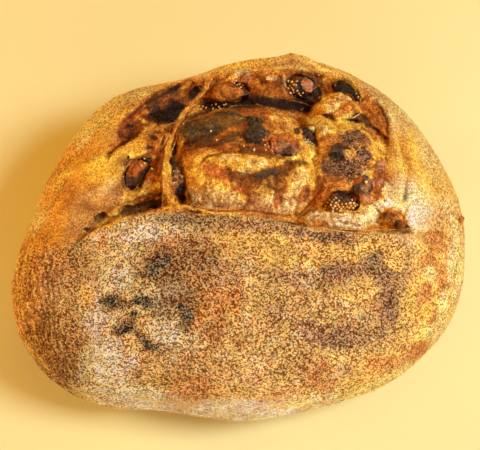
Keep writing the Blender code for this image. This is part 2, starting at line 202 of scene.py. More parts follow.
# Raised and sunken lines of the surface: height in millimetres, width in pixels, wander and points
LINES = (
    (0.9, 4.5, 0.3, (74, 243), (90, 235), (108, 226), (121, 219), (133, 215), (150, 212), (166, 209),
     (180, 206), (196, 209), (213, 213), (239, 213), (262, 215), (285, 219), (300, 223), (330, 228),
     (360, 230), (400, 231), (428, 228)),
    (0.5, 2.4, 0.3, (288, 226), (310, 230), (345, 234), (385, 236), (425, 233)),
    (0.4, 2.2, 0.3, (300, 218), (330, 224), (365, 227), (400, 227), (420, 224)),
    (1.2, 5.0, 0.4, (140, 194), (131, 197), (122, 206), (115, 216), (104, 224)),
    (1.0, 4.0, 0.4, (126, 199), (136, 195), (146, 194), (154, 191)),
    (0.8, 3.0, 0.4, (106, 158), (122, 148), (138, 138), (152, 131), (165, 127)),
    (0.9, 3.0, 0.4, (122, 134), (126, 118), (140, 105), (163, 90), (184, 81)),
    (0.8, 4.0, 0.4, (262, 71), (286, 66), (306, 67), (321, 74)),
    (0.6, 3.0, 0.4, (292, 60), (310, 66), (322, 75)),
    (0.6, 3.0, 0.5, (305, 212), (325, 209), (350, 213), (374, 214)),
    (0.9, 4.0, 0.4, (328, 119), (350, 123), (368, 132), (380, 146), (384, 162)),
    (0.5, 3.0, 0.4, (383, 205), (378, 190), (384, 170), (388, 150)),
    (0.5, 3.0, 0.3, (388, 108), (393, 130), (402, 160), (412, 190), (420, 222)),
    (0.8, 3.0, 0.4, (163, 196), (164, 180), (163, 165), (166, 152)),
    (0.5, 2.0, 0.3, (166, 190), (163, 200), (162, 209)),
    (0.5, 2.0, 0.3, (169, 193), (173, 203), (186, 207)),
    (-0.6, 6.0, 0.8, (224, 170), (236, 177), (252, 177), (270, 172), (292, 164)),
    (-0.9, 2.2, 0.3, (403, 164), (407, 178), (408, 190), (405, 203)),
    (-1.6, 3.4, 0.2, (396, 150), (397, 158), (398, 168)),
    (-1.2, 2.6, 0.3, *BACK_CRACK),
    (-0.5, 2.2, 0.3, (105, 130), (88, 146), (71, 163), (63, 184), (58, 205)),
    (-0.5, 2.4, 0.3, (366, 88), (384, 100), (400, 117), (412, 135), (426, 157)),
    (-0.7, 2.0, 0.3, (290, 224), (312, 227), (345, 231), (385, 233), (424, 230)),
    (-2.6, 4.2, 0.4, *FOLD_SHADOW),
    (-1.8, 3.4, 0.3, (374, 206), (379, 215), (376, 224)),
    (-0.5, 3.0, 0.5, (313, 142), (320, 155), (323, 170), (321, 186), (313, 200), (303, 212)),
    (-1.2, 3.2, 0.4, (106, 158), (118, 147), (130, 140), (137, 137)),
    (-0.8, 2.2, 0.4, (376, 102), (382, 111), (386, 121), (387, 132)),
    (-0.9, 2.4, 0.4, (245, 181), (244, 190), (251, 198), (251, 206)),
    (-0.8, 2.2, 0.4, (128, 156), (125, 165), (122, 177), (125, 188)),
    (-0.8, 2.4, 0.3, (136, 116), (150, 102), (166, 92), (180, 86)),
)  # fmt: skip
# Dents and knobs: height in millimetres, then a spot: x, y, half its length, half its width, degrees
DENTS = (
    (1.4, 297, 57, 11, 9), (-1.2, 326, 65, 12, 8, 30), (-0.9, 348, 77, 16, 8, 30),
    (-0.7, 262, 72, 60, 3, -2), (-2.6, 193, 211, 9, 2.6, 6), (-2.4, 101, 217, 7, 4.5, -25),
    (-1.0, 87, 230, 3, 2), (-2.6, 197, 92, 7, 4, -42), (-2.0, 143, 208, 18, 5, -13), (-1.6, 125, 210, 5, 6),
    (-1.2, 182, 196, 3.5, 7, -12), (-1.2, 153, 138, 3, 2), (-1.4, 163, 142, 2.4, 9, 12),
    (-1.0, 149, 146, 3, 2), (-0.9, 130, 128, 10, 6, -20), (-1.4, 173, 150, 3, 12, 8),
    (1.2, 346, 110, 12, 7, -30), (-1.0, 352, 112, 5, 3, -20), (0.5, 246, 163, 20, 7, 3),
    (3.2, 322, 127, 13, 8, 10), (-1.0, 302, 65, 6, 3, 10), (-0.9, 381, 170, 3, 5),
    (-0.8, 372, 190, 4, 3, -40), (-0.7, 118, 190, 4, 3), (-0.8, 230, 114, 9, 2), (0.7, 205, 198, 12, 7),
    (-0.8, 300, 198, 6, 8, -30), (0.8, 290, 88, 4, 8), (-1.2, 276, 90, 5, 7, 10), (0.7, 228, 196, 9, 7),
    (0.8, 268, 196, 7, 6), (-0.8, 279, 196, 4, 8, 20), (0.7, 292, 178, 8, 12, 20), (-1.0, 262, 88, 5, 8),
    (0.8, 347, 154, 5, 5), (-0.9, 337, 162, 12, 3, 5), (0.6, 369, 150, 5, 12), (0.8, 372, 172, 7, 6, 30),
    (-0.8, 385, 182, 4, 4), (0.9, 386, 202, 7, 8, 30), (-0.8, 336, 139, 6, 4),
)  # fmt: skip
# Wrinkled places: spot, then the direction, length, width, height in millimetres and contrast of the
# wrinkles; the contrast paints their hollows darker and their ridges lighter, painted shade and light that
# also stand for the dough's own streaks
WRINKLES = (
    ((100, 190, 50, 50, -30), -32, 10, 2.1, 0.45, 0.6), ((152, 102, 46, 18, -30), -33, 14, 2.2, 0.6, 0.6),
    ((152, 185, 14, 28, 12), 104, 12, 2.6, 0.45, 0.5), ((225, 128, 50, 22, -8), -10, 14, 3.0, 0.35, 0.35),
    ((250, 195, 66, 18, 0), 97, 9, 2.3, 0.35, 0.65), ((302, 160, 18, 40, 10), 75, 8, 2.5, 0.3, 0.35),
    ((243, 164, 30, 10, 0), 5, 7, 2.3, 0.3, 0.3), ((268, 84, 44, 14, 0), 95, 7, 2.5, 0.4, 0.5),
    ((373, 113, 13, 24, -38), 52, 12, 2.2, 0.3, 0.4), ((340, 102, 24, 18, -30), 60, 7, 2.3, 0.25, 0.3),
    ((378, 186, 15, 30, 0), 100, 9, 2.5, 0.45, 0.45), ((340, 217, 38, 9, 3), 4, 16, 2.4, 0.25, 0.25),
    ((402, 150, 18, 56, -12), 78, 22, 2.4, 0.4, 0.4), ((404, 200, 24, 30, 0), 102, 14, 2.4, 0.4, 0.4),
    ((345, 150, 30, 34, 0), 20, 6, 2.4, 0.3, 0.3), ((210, 212, 100, 6, 2), 4, 20, 2.2, 0.3, 0.4),
    ((348, 230, 80, 7, 2), 3, 26, 2.0, 0.35, 0.45), ((432, 130, 20, 60, -22), 66, 14, 2.4, 0.15, 0.15),
    ((300, 66, 60, 10, 2), 2, 14, 2.2, 0.25, 0.3), ((140, 206, 24, 14, -20), -22, 12, 2.4, 0.4, 0.5),
    ((345, 100, 60, 30, 30), 35, 12, 2.4, 0.12, 0.15),
)  # fmt: skip

SOFT_LENGTH = 25  # a shorter spot has a crisper edge, and this is in pixels

# Painting in order: colour, amount, raggedness of the edge, mottling, then spots, as above, and lines, each
# with its width and points
SCORE_PAINT = (
    # The panel and the pockets on the left
    ("honey", 0.9, 1.0, 0.4, (95, 190, 50, 52, -20), (70, 225, 22, 30, -30)),
    ("tan", 0.5, 1.2, 0.8, (82, 217, 16, 18, -20), (112, 192, 12, 10), (66, 235, 8, 10)),
    ("fawn", 0.7, 1.2, 0.9, (98, 200, 26, 13, -28), (74, 224, 16, 12, -30)),
    # The first of these yellow spots is a painted highlight along the top of the shelf
    ("yellow", 0.9, 0.8, 0.3, (137, 146, 26, 8, -30), (112, 172, 14, 14, -40), (100, 170, 10, 18, 30)),
    ("cream", 0.5, 0.8, 0.8, (1.5, (113, 186), (110, 196), (107, 206)), (1.3, (103, 186), (108, 184),
     (112, 188))),
    ("orange", 0.8, 1.0, 0.5, (118, 144, 12, 5, -40), (7, (124, 134), (134, 112), (152, 97), (176, 86))),
    ("rust", 0.9, 1.0, 0.6, (132, 126, 15, 10, -30), (150, 104, 14, 8, -35)),
    # The first line of this layer is painted shade in the sunken edge of the pocket, and its last in the
    # crack
    ("sienna", 0.95, 1.0, 0.3, (168, 97, 26, 9, -27), (176, 103, 20, 15, -20), (126, 132, 9, 4, -35),
     (3, (107, 157), (118, 147), (130, 140), (137, 137)), (2.2, (128, 118), (142, 106), (156, 95)),
     (1.6, *BACK_CRACK)),
    ("rust", 0.9, 1.0, 0.5, (156, 142, 11, 13, 10), (152, 182, 12, 22, 12), (150, 118, 14, 6, -20)),
    ("amber", 0.85, 0.8, 0.4, (187, 90, 9, 5, -25), (146, 196, 8, 5, -30), (155, 140, 5, 6),
     (160, 172, 3, 16, 4)),
    ("gold", 0.85, 0.8, 0.7, (151, 189, 10, 7, -20)),
    # Umber here is mostly painted shade in the pockets, holes and grooves that the dents sink
    ("umber", 0.9, 0.8, 0.6, (133, 135, 7, 2.4, -30), (162, 98, 22, 4, -30), (142, 208, 24, 7, -14),
     (125, 210, 5, 6), (101, 217, 7, 4.5, -25), (87, 230, 3, 2), (153, 138, 3.5, 2.2),
     (149, 146, 3.5, 2.2, 20), (158, 131, 3, 1.6), (163, 140, 1.8, 10, 12), (150, 101, 5, 3, -30)),
    ("olive", 0.7, 0.8, 0.5, (101, 217, 5, 3.4, -25), (148, 203, 9, 3, -20)),
    # Char here is painted shade in the deep cavity, the dark hole and the grooves, besides a scorched patch
    # at 176, 88
    ("char", 0.97, 0.7, 0.1, (168, 112, 20, 9.5, -14), (197, 92, 8, 5, -42), (176, 88, 6, 2.6, -25),
     (174, 148, 3.4, 9, 6), (175, 136, 2, 4), (152, 208, 7, 3, -14), (130, 127, 3, 1.6, -20)),
    ("sienna", 0.75, 1.0, 0.8, (166, 103, 9, 4, -20)),
    ("yellow", 0.9, 0.5, 0.3, (143, 121, 5, 2, 20), (4.5, (137, 192), (128, 197), (120, 208), (112, 217),
     (100, 226)), (2.0, (130, 199), (140, 195), (152, 192)), (2.2, (163, 208), (164, 190), (163, 175),
     (164, 160)), (1.8, (168, 195), (171, 206))),
    # The back wall
    ("rust", 0.95, 1.0, 0.5, (262, 84, 30, 10, 3), (226, 100, 24, 6, -6)),
    ("sienna", 0.9, 0.8, 0.4, (305, 90, 24, 17)),
    ("umber", 0.7, 1.0, 0.8, (258, 92, 12, 6), (262, 80, 8, 5), (278, 84, 3, 7, 10)),
    ("pale", 0.5, 1.0, 1.3, (243, 75, 9, 3), (285, 86, 3, 9, -8), (272, 79, 5, 2)),
    ("mauve", 0.6, 1.0, 0.5, (246, 80, 5, 4)),
    ("amber", 0.8, 1.0, 0.8, (280, 93, 5, 6), (264, 90, 14, 5), (256, 82, 6, 4)),
    # The middle mound
    ("olive", 0.95, 1.2, 0.2, (212, 128, 34, 18, -10), (256, 123, 20, 13, 10)),
    ("slate", 0.8, 1.2, 0.4, (205, 133, 18, 9, -10), (235, 113, 20, 4), (228, 143, 14, 4)),
    ("rust", 0.8, 1.0, 0.6, (262, 113, 30, 4, 4), (225, 147, 40, 4, 2), (250, 144, 12, 4, 10)),
    ("umber", 0.85, 1.0, 0.4, (206, 142, 22, 5, -6), (258, 150, 22, 4, 4), (194, 148, 8, 6, -20)),
    ("rust", 0.8, 0.6, 0.5, (5.0, (216, 139), (226, 132), (237, 128), (247, 124)), (2.4, (240, 141),
     (250, 146), (262, 150)), (1.6, (192, 119), (215, 112), (240, 110), (270, 110), (296, 112))),
    ("amber", 0.5, 0.6, 0.8, (2.4, (222, 134), (232, 129), (243, 126)), (1.4, (236, 117), (240, 118),
     (246, 119))),
    ("amber", 0.9, 1.0, 0.5, (284, 121, 20, 10, 10), (304, 122, 8, 8), (270, 128, 8, 6)),
    ("gold", 0.6, 0.8, 0.8, (284, 117, 13, 5, 5), (292, 128, 8, 4, 20), (278, 131, 5, 2)),
    # Painted shade in the deep fissure under the back wall and in the hollow under the fold
    ("char", 0.98, 0.6, 0.0, (11.5, (206, 104), (222, 103), (244, 103), (262, 102), (290, 105), (306, 107)),
     (4.4, *FOLD_SHADOW)),
    ("sienna", 0.7, 0.8, 0.8, (3, (200, 103), (208, 100), (218, 99))),
    ("honey", 0.95, 0.8, 0.3, (200, 172, 16, 22, 10), (302, 170, 22, 36, 8), (318, 130, 8, 10)),
    ("amber", 0.7, 0.8, 0.6, (196, 158, 8, 12), (186, 152, 6, 6)),
    ("yellow", 0.95, 0.8, 0.3, (208, 156, 13, 4, -24), (243, 163, 27, 9.5, 3), (292, 158, 22, 6, -4),
     (200, 172, 8, 8), (306, 152, 10, 12), (314, 172, 6, 16)),
    ("butter", 0.6, 0.6, 0.8, (258, 164, 12, 5, 8), (246, 172, 9, 3), (230, 158, 12, 3)),
    ("red", 0.85, 0.9, 0.5, (218, 173, 15, 7, 12), (238, 186, 10, 5, 30)),
    ("umber", 0.75, 1.0, 0.9, (266, 178, 28, 8, -10), (284, 168, 20, 6, -14), (268, 188, 12, 8, 10),
     (240, 178, 14, 5, 10)),
    ("sienna", 0.85, 1.0, 0.6, (2.4, (201, 166), (209, 157), (226, 152), (252, 153), (270, 158)),
     (2.2, (228, 169), (238, 177), (256, 176), (276, 168), (300, 162))),
    ("slate", 0.8, 0.8, 0.5, (263, 175, 9, 4, -20), (274, 171, 6, 3, -20)),
    ("sienna", 0.7, 1.0, 0.7, (279, 190, 9, 12, 10), (256, 188, 10, 6), (292, 172, 8, 6)),
    ("tan", 0.8, 1.2, 0.4, (212, 198, 28, 12, 4), (268, 203, 34, 10, -4), (298, 196, 12, 12)),
    ("yellow", 0.6, 1.2, 0.8, (222, 186, 12, 6), (296, 182, 12, 14, 24), (266, 191, 9, 4),
     (206, 184, 10, 6), (240, 196, 8, 5)),
    ("butter", 0.45, 1.4, 1.0, (203, 199, 16, 8), (230, 197, 10, 6, 4), (298, 184, 7, 14, 30),
     (290, 206, 12, 5, -20)),
    ("fawn", 0.6, 1.2, 0.6, (207, 205, 14, 4), (222, 205, 10, 3)),
    # Most of these rust spots are painted shade in the lower mound's dents and sunken lines
    ("rust", 0.85, 1.0, 0.6, (245, 187, 3, 8), (251, 202, 2.6, 6), (304, 194, 5, 12, 30),
     (279, 199, 4, 7, 20), (2.5, (196, 208), (220, 211), (250, 211), (290, 215))),
    # Painted shade in the groove beside the fig by the strand, in the dent under the lip and in the crease
    # between the mounds
    ("sienna", 0.95, 0.5, 0.2, (182, 196, 4, 9, -12), (194, 211, 8, 2.6, 6), (1.8, (320, 182), (316, 196),
     (308, 206), (300, 214))),
    ("violet", 0.7, 0.5, 0.3, (196, 212, 5, 2, 6), (297, 214, 3, 2.4)),
    # The right mound
    ("yellow", 0.95, 0.9, 0.2, (336, 128, 30, 11, 6), (378, 150, 8, 26, -6), (370, 208, 12, 10),
     (366, 178, 7, 9)),
    ("amber", 0.75, 1.0, 0.6, (331, 137, 9, 7), (374, 135, 7, 6, 40), (336, 147, 12, 5)),
    ("mauve", 0.9, 1.4, 0.8, (352, 142, 18, 13), (342, 168, 21, 11, 2), (354, 156, 15, 18)),
    ("sienna", 0.7, 1.4, 1.2, (346, 164, 20, 16), (354, 141, 13, 9)),
    ("violet", 0.7, 1.0, 1.2, (339, 168, 17, 8), (352, 137, 11, 6), (364, 154, 5, 7)),
    ("honey", 0.7, 1.2, 1.2, (348, 152, 7, 6), (362, 145, 3, 3)),
    ("orange", 0.7, 1.4, 1.0, (334, 140, 9, 6), (347, 148, 6, 3), (366, 172, 5, 5)),
    ("red", 0.9, 0.9, 0.4, (322, 194, 8, 8), (356, 196, 8, 6, -30)),
    ("orange", 0.95, 0.9, 0.4, (334, 184, 15, 7)),
    ("sienna", 0.8, 1.0, 0.6, (336, 178, 16, 4), (320, 182, 4, 8)),
    ("rust", 0.8, 1.1, 0.7, (381, 171, 7, 12, -10), (378, 186, 8, 8), (368, 200, 9, 7, -40)),
    ("sienna", 0.7, 1.0, 0.9, (382, 173, 4, 6), (376, 166, 4, 4), (386, 186, 4, 4)),
    ("pink", 0.35, 1.2, 1.4, (366, 196, 5, 9, -40), (382, 166, 4, 5), (378, 183, 7, 3, -20)),
    ("butter", 0.7, 1.0, 1.0, (380, 206, 6, 9, 24), (366, 172, 4, 5), (390, 190, 6, 10)),
    ("milk", 0.6, 0.8, 1.0, (382, 206, 4, 6, 24), (380, 205, 2, 6, 24)),
    # Its line is painted shade in the slit
    ("sienna", 0.85, 0.8, 0.4, (340, 205, 19, 7, 3), (3.2, (375, 206), (380, 215), (377, 223))),
    # The roll below it
    ("pale", 0.95, 0.7, 0.3, (340, 219, 36, 6.5, 4), (370, 215, 9, 8)),
    # Painted shade along the top of the roll, under the ridge above it
    ("fawn", 0.75, 0.8, 0.5, (328, 216, 16, 3, 3), (345, 222, 16, 2, 4), (318, 221, 8, 2, 10)),
    ("cream", 0.75, 0.8, 0.5, (345, 226, 22, 2.4, 4), (314, 212, 6, 4, 30), (346, 219, 14, 2, 4)),
    ("amber", 0.8, 0.8, 0.6, (330, 228, 30, 2, 5), (322, 223, 8, 2, 10)),
    # The lump and the fold at the back on the right
    ("gold", 0.95, 0.9, 0.3, (341, 101, 21, 17, -35)),
    ("amber", 0.8, 1.2, 0.8, (330, 92, 7, 10, -10), (350, 104, 10, 5, -20), (336, 113, 8, 3)),
    ("butter", 0.5, 1.0, 1.2, (332, 106, 7, 7, -30), (350, 118, 6, 2.4, 20), (342, 98, 8, 4, -20)),
    ("rust", 0.7, 0.8, 0.9, (1.6, (334, 112), (344, 107), (354, 109), (359, 113)), (1.4, (330, 96),
     (342, 101), (356, 100)), (1.4, (324, 102), (327, 110), (336, 117))),
    # These yellow and butter spots are painted light on the saddle between the mounds, which the dough's
    # shape leaves in shade
    ("yellow", 0.95, 0.8, 0.3, (318, 124, 16, 8, 16), (336, 124, 12, 4, 6)),
    ("butter", 0.85, 0.7, 0.4, (320, 127, 10, 6, 20), (308, 118, 9, 3, 10)),
    ("orange", 0.6, 0.8, 0.8, (348, 110, 7, 3, 15)),
    ("amber", 0.9, 1.0, 0.4, (373, 111, 10, 20, -38), (379, 126, 7, 9, -20)),
    # Painted shade in the gap under the fold and in the crease at its outer edge
    ("umber", 0.92, 0.7, 0.3, (362, 119, 11, 4.5, 35), (328, 116, 7, 2.4, 20), (2.0, (376, 102), (382, 111),
     (386, 121))),
    ("rust", 0.8, 0.8, 0.5, (3, (354, 98), (366, 106), (377, 119), (383, 132)), (2.2, (386, 121),
     (388, 134), (386, 146))),
    # Painted shade in the hollow under the fold
    ("char", 0.9, 0.6, 0.2, (355, 121, 7, 2.4, 15), (376, 129, 6, 2, 40)),
    # Scorched and torn dough round the figs
    # Among these char spots, the one at 181, 192 is painted shade in the groove beside the fig
    ("char", 0.9, 0.7, 0.3, (251, 120, 5, 4), (262, 140, 9, 6, 30), (250, 138, 7, 6), (304, 128, 5, 3, 20),
     (314, 142, 4, 6, -30), (335, 153, 6, 6), (343, 200, 10, 6, 20), (318, 96, 4, 8), (303, 103, 12, 3),
     (345, 88, 11, 5, 35), (360, 98, 7, 3, 20), (181, 192, 3, 10, -10), (172, 161, 3, 4), (297, 130, 3, 3)),
    ("sienna", 0.85, 0.7, 0.4, (136, 186, 7, 5, -40), (146, 160, 6, 5), (127, 160, 5, 5), (124, 180, 3, 10),
     (267, 147, 6, 8), (284, 155, 14, 2.4), (298, 145, 3, 8), (358, 192, 8, 4), (290, 90, 4, 12),
     (214, 86, 6, 8), (390, 216, 9, 4, 10), (398, 224, 10, 4, 20), (328, 206, 5, 6), (180, 172, 6, 16, -8)),
    # Lips and the strand
    # Its first line is a painted highlight along the right mound's edge
    ("yellow", 0.8, 0.5, 0.4, (2.5, (318, 119), (332, 121), (350, 125), (366, 133), (377, 146)),
     (1.6, (312, 210), (328, 208), (350, 211), (372, 212))),
    ("orange", 0.9, 0.4, 0.3, (6, (212, 80), (205, 91), (197, 100), (190, 107), (182, 118), (175, 129),
     (170, 141))),
    ("honey", 0.9, 0.4, 0.4, (4, (170, 141), (167, 151), (166, 165), (167, 178), (170, 190), (177, 202))),
    # Painted shade along the left side of the strand's lower half
    ("sienna", 0.8, 0.5, 0.6, (2.6, (165, 146), (162, 158), (161, 172), (161, 186), (160, 200))),
    # Painted shade along one side of the strand
    ("sienna", 0.85, 0.3, 0.4, (2, (214, 80), (207, 91), (200, 100), (193, 108), (186, 117), (179, 128),
     (174, 140))),
    # Painted highlights along the strand and along the front lip
    ("yellow", 0.85, 0.5, 0.5, (1.6, (204, 90), (196, 99), (188, 107), (181, 116), (175, 125), (170, 137),
     (166, 150), (165, 165), (166, 180), (170, 193)), (1.6, (172, 203), (184, 206), (198, 210), (215, 213),
     (240, 213))),
)  # fmt: skip
CRUST_PAINT = (
    ("fawn", 0.8, 1.5, 0.4, (45, 320, 42, 90)),
    ("honey", 0.6, 1.2, 0.4, (26, 270, 14, 40, 12), (30, 330, 16, 50, -14)),
    ("orange", 0.45, 1.5, 0.6, (28, 300, 16, 60, 8), (60, 262, 14, 16)),
    ("sienna", 0.6, 1.6, 0.7, (60, 358, 24, 30, -30), (45, 335, 14, 30)),
    ("mauve", 0.5, 1.4, 0.7, (85, 268, 20, 20)),
    ("fawn", 0.8, 1.4, 0.5, (205, 224, 55, 9, 3), (170, 275, 44, 30)),
    ("cream", 0.75, 1.5, 0.4, (120, 262, 22, 34, 20), (105, 310, 18, 30), (172, 335, 20, 18, 20),
     (150, 232, 40, 12, -10), (150, 295, 26, 16)),
    ("flour", 0.85, 1.6, 0.3, (107, 364, 20, 20, 30), (97, 318, 8, 22), (120, 276, 13, 11),
     (168, 335, 12, 10, 30), (140, 236, 16, 8, -10)),
    ("cream", 0.8, 1.6, 0.5, (125, 393, 40, 12, 10), (215, 412, 70, 6, 1), (290, 410, 50, 6, -6)),
    ("flour", 0.95, 1.2, 0.4, (228, 411, 50, 9), (140, 400, 36, 10, 8), (300, 407, 44, 8, -6)),
    ("gold", 0.6, 1.6, 0.5, (232, 244, 20, 12), (300, 250, 60, 14, 4), (370, 248, 30, 8, 4),
     (87, 293, 7, 6)),
    ("orange", 0.85, 1.6, 0.4, (175, 250, 26, 12, -10), (104, 244, 5, 8), (195, 276, 14, 8),
     (225, 300, 18, 14), (200, 310, 10, 16)),
    ("red", 0.6, 1.6, 0.8, (198, 388, 26, 12, -10), (318, 376, 14, 13, 10), (300, 395, 30, 8, -10)),
    ("rust", 0.55, 1.6, 0.9, (242, 344, 9, 8), (160, 256, 12, 8, -20), (215, 330, 10, 20),
     (188, 258, 14, 5, -10)),
    ("olive", 0.7, 1.4, 0.8, (200, 220, 50, 6, 3), (172, 266, 38, 22, -10), (172, 300, 28, 14)),
    ("sienna", 0.75, 1.4, 0.7, (158, 268, 17, 13, -30), (113, 303, 12, 8, 10), (126, 328, 12, 6),
     (146, 342, 14, 6, 40), (185, 312, 11, 6, 30), (162, 350, 12, 4, 10), (172, 300, 10, 5, 10),
     (186, 325, 8, 8)),
    ("mauve", 0.85, 1.6, 0.4, (345, 271, 26, 8, -8), (374, 259, 13, 8, -35), (390, 300, 14, 30, 8),
     (345, 336, 32, 13, -4), (290, 277, 16, 9), (411, 267, 5, 13, 8), (318, 330, 16, 10)),
    ("mauve", 0.85, 1.0, 0.4, (318, 236, 34, 6, 8), (262, 226, 46, 6, 4)),
    ("violet", 0.6, 1.5, 0.7, (378, 272, 14, 8), (372, 258, 9, 5, -30), (340, 340, 16, 8),
     (392, 308, 8, 14), (318, 235, 24, 4, 8), (330, 272, 10, 5)),
    ("gold", 0.65, 1.6, 0.5, (358, 292, 16, 9), (397, 262, 8, 12)),
)  # fmt: skip
SCORCH_PAINT = (
    ("umber", 0.75, 1.6, 1.1, (159, 267, 15, 10, -30), (112, 303, 14, 7, 10), (142, 303, 13, 7),
     (127, 328, 13, 5), (148, 344, 16, 4, 40), (186, 314, 10, 7, 35), (186, 327, 6, 5)),
    ("char", 1.0, 1.2, 0.6, (141, 302, 12, 6), (188, 315, 6, 5, 30), (128, 329, 8, 3),
     (110, 303, 8, 3.4, 10), (155, 270, 8, 5, -30), (133, 316, 5, 2.4), (166, 262, 6, 4, -30),
     (180, 309, 6, 2.4, 20), (150, 346, 9, 2.6, 40)),
)  # fmt: skip
EDGE_PAINT = (
    ("gold", 0.9, 1.2, 0.3, (440, 290, 26, 90, 12), (400, 375, 50, 26, -30)),
    ("red", 0.75, 1.6, 0.6, (436, 240, 8, 16), (430, 262, 7, 10), (444, 280, 7, 18), (424, 296, 8, 10),
     (436, 322, 8, 12, 10), (420, 350, 14, 7, -40), (386, 362, 16, 7, -10), (452, 250, 5, 12)),
    ("pale", 0.8, 1.4, 0.6, (456, 262, 6, 40), (440, 330, 10, 20, 20), (392, 382, 40, 9, -24),
     (320, 400, 40, 8, -6), (428, 275, 6, 6), (446, 300, 6, 10)),
)  # fmt: skip
OUTER_PAINT = (
    # Left of the score
    ("gold", 0.9, 1.2, 0.4, (115, 115, 46, 34, -36), (86, 150, 30, 40, -40), (60, 200, 22, 40, -10)),
    ("amber", 0.35, 1.4, 0.9, (112, 140, 20, 8, -50), (100, 128, 16, 8, -40), (70, 180, 10, 22, 10),
     (52, 222, 8, 16, 10)),
    ("pale", 0.8, 1.2, 0.5, (52, 190, 28, 9, -66), (70, 152, 28, 10, -56), (98, 117, 28, 10, -43),
     (130, 97, 24, 8, -25), (40, 215, 16, 10, -70)),
    ("cream", 0.4, 1.4, 1.2, (120, 100, 26, 5, -28), (76, 145, 20, 6, -52), (54, 188, 20, 5, -66)),
    ("yellow", 0.6, 1.4, 0.9, (108, 118, 22, 12, -40), (66, 190, 16, 26, 14), (84, 158, 14, 16, -40)),
    ("rust", 0.65, 1.0, 0.8, (1.8, (105, 130), (96, 139), (88, 146), (79, 155), (71, 163)), (1.4, (71, 163),
     (64, 182), (59, 204))),
    # The rim behind it
    ("gold", 0.95, 1.2, 0.4, (250, 65, 64, 10, -6), (190, 76, 30, 6, -20), (330, 74, 40, 10, 24)),
    ("rust", 0.6, 1.0, 0.7, (1.8, (190, 81), (215, 73), (240, 67), (262, 61), (286, 58)), (2.2, (300, 58),
     (315, 64), (330, 70), (345, 79), (362, 90))),
    ("orange", 0.7, 1.4, 0.6, (262, 70, 40, 3, -2), (222, 72, 20, 3, -14), (314, 74, 14, 5, 20)),
    ("butter", 0.7, 0.8, 0.7, (2.4, (275, 60), (296, 56), (318, 64)), (2.0, (268, 71), (290, 67),
     (316, 74)), (2.2, (196, 78), (230, 68), (258, 62))),
    ("yellow", 0.8, 0.8, 1.0, (262, 66, 40, 5, -4), (312, 71, 12, 3, 20), (226, 70, 16, 3, -16)),
    ("rust", 0.6, 0.8, 0.8, (1.4, (238, 72), (262, 68), (284, 66), (298, 68)), (1.2, (250, 65), (270, 62),
     (290, 60)), (1.2, (304, 62), (312, 66), (320, 73))),
    ("mauve", 0.8, 0.8, 0.4, (301, 65, 7, 3, 16), (282, 63, 8, 2, -8)),
    # Painted shade in the hollow on the rim and in the crack
    ("umber", 0.85, 0.8, 0.4, (300, 64, 4, 1.6, 10), (1.6, *BACK_CRACK)),
    # Right of it
    ("gold", 0.85, 1.2, 0.4, (400, 118, 22, 34, -40), (440, 180, 26, 44, -20)),
    ("pale", 0.5, 1.4, 0.8, (384, 94, 22, 9, 42), (412, 128, 22, 9, 52), (446, 214, 10, 30)),
    ("orange", 0.4, 1.4, 0.8, (440, 196, 8, 30), (424, 156, 8, 24, -30), (372, 92, 14, 4, 40)),
    ("pale", 0.7, 1.0, 1.0, (392, 100, 26, 8, 42), (422, 130, 24, 8, 54)),
    ("yellow", 0.95, 1.0, 0.3, (402, 150, 16, 52, -14), (414, 206, 18, 26), (428, 165, 10, 30, -22)),
    ("amber", 0.6, 1.0, 0.9, (2.4, (366, 87), (384, 99), (400, 116), (412, 134)), (2.4, (412, 134),
     (426, 156), (438, 184), (445, 212)), (1.6, (380, 100), (396, 118), (408, 138), (420, 162))),
    ("butter", 0.8, 1.0, 0.4, (412, 206, 18, 26), (398, 186, 8, 20, -10), (392, 214, 12, 8)),
    # Pale crust with a painted highlight where this side faces the lamp
    ("milk", 1.0, 0.8, 0.3, (419, 216, 12, 12), (408, 224, 12, 5)),
    ("milk", 0.6, 0.8, 0.8, (390, 202, 5, 8, 20), (404, 196, 5, 14, -6)),
    ("amber", 0.7, 0.8, 0.6, (390, 140, 4, 22, -6), (404, 150, 3, 26, -12), (392, 172, 4, 8)),
    ("butter", 0.7, 1.2, 0.6, (394, 118, 14, 9, 50), (404, 112, 18, 7, 46), (432, 160, 9, 24, -20)),
    # Painted shade in the slit and the cracks of the right band
    ("umber", 0.9, 0.5, 0.3, (2.6, (396, 149), (397, 158), (399, 167)), (1.6, (403, 166), (407, 180),
     (405, 202)), (1.2, (394, 186), (396, 198), (392, 206))),
)  # fmt: skip
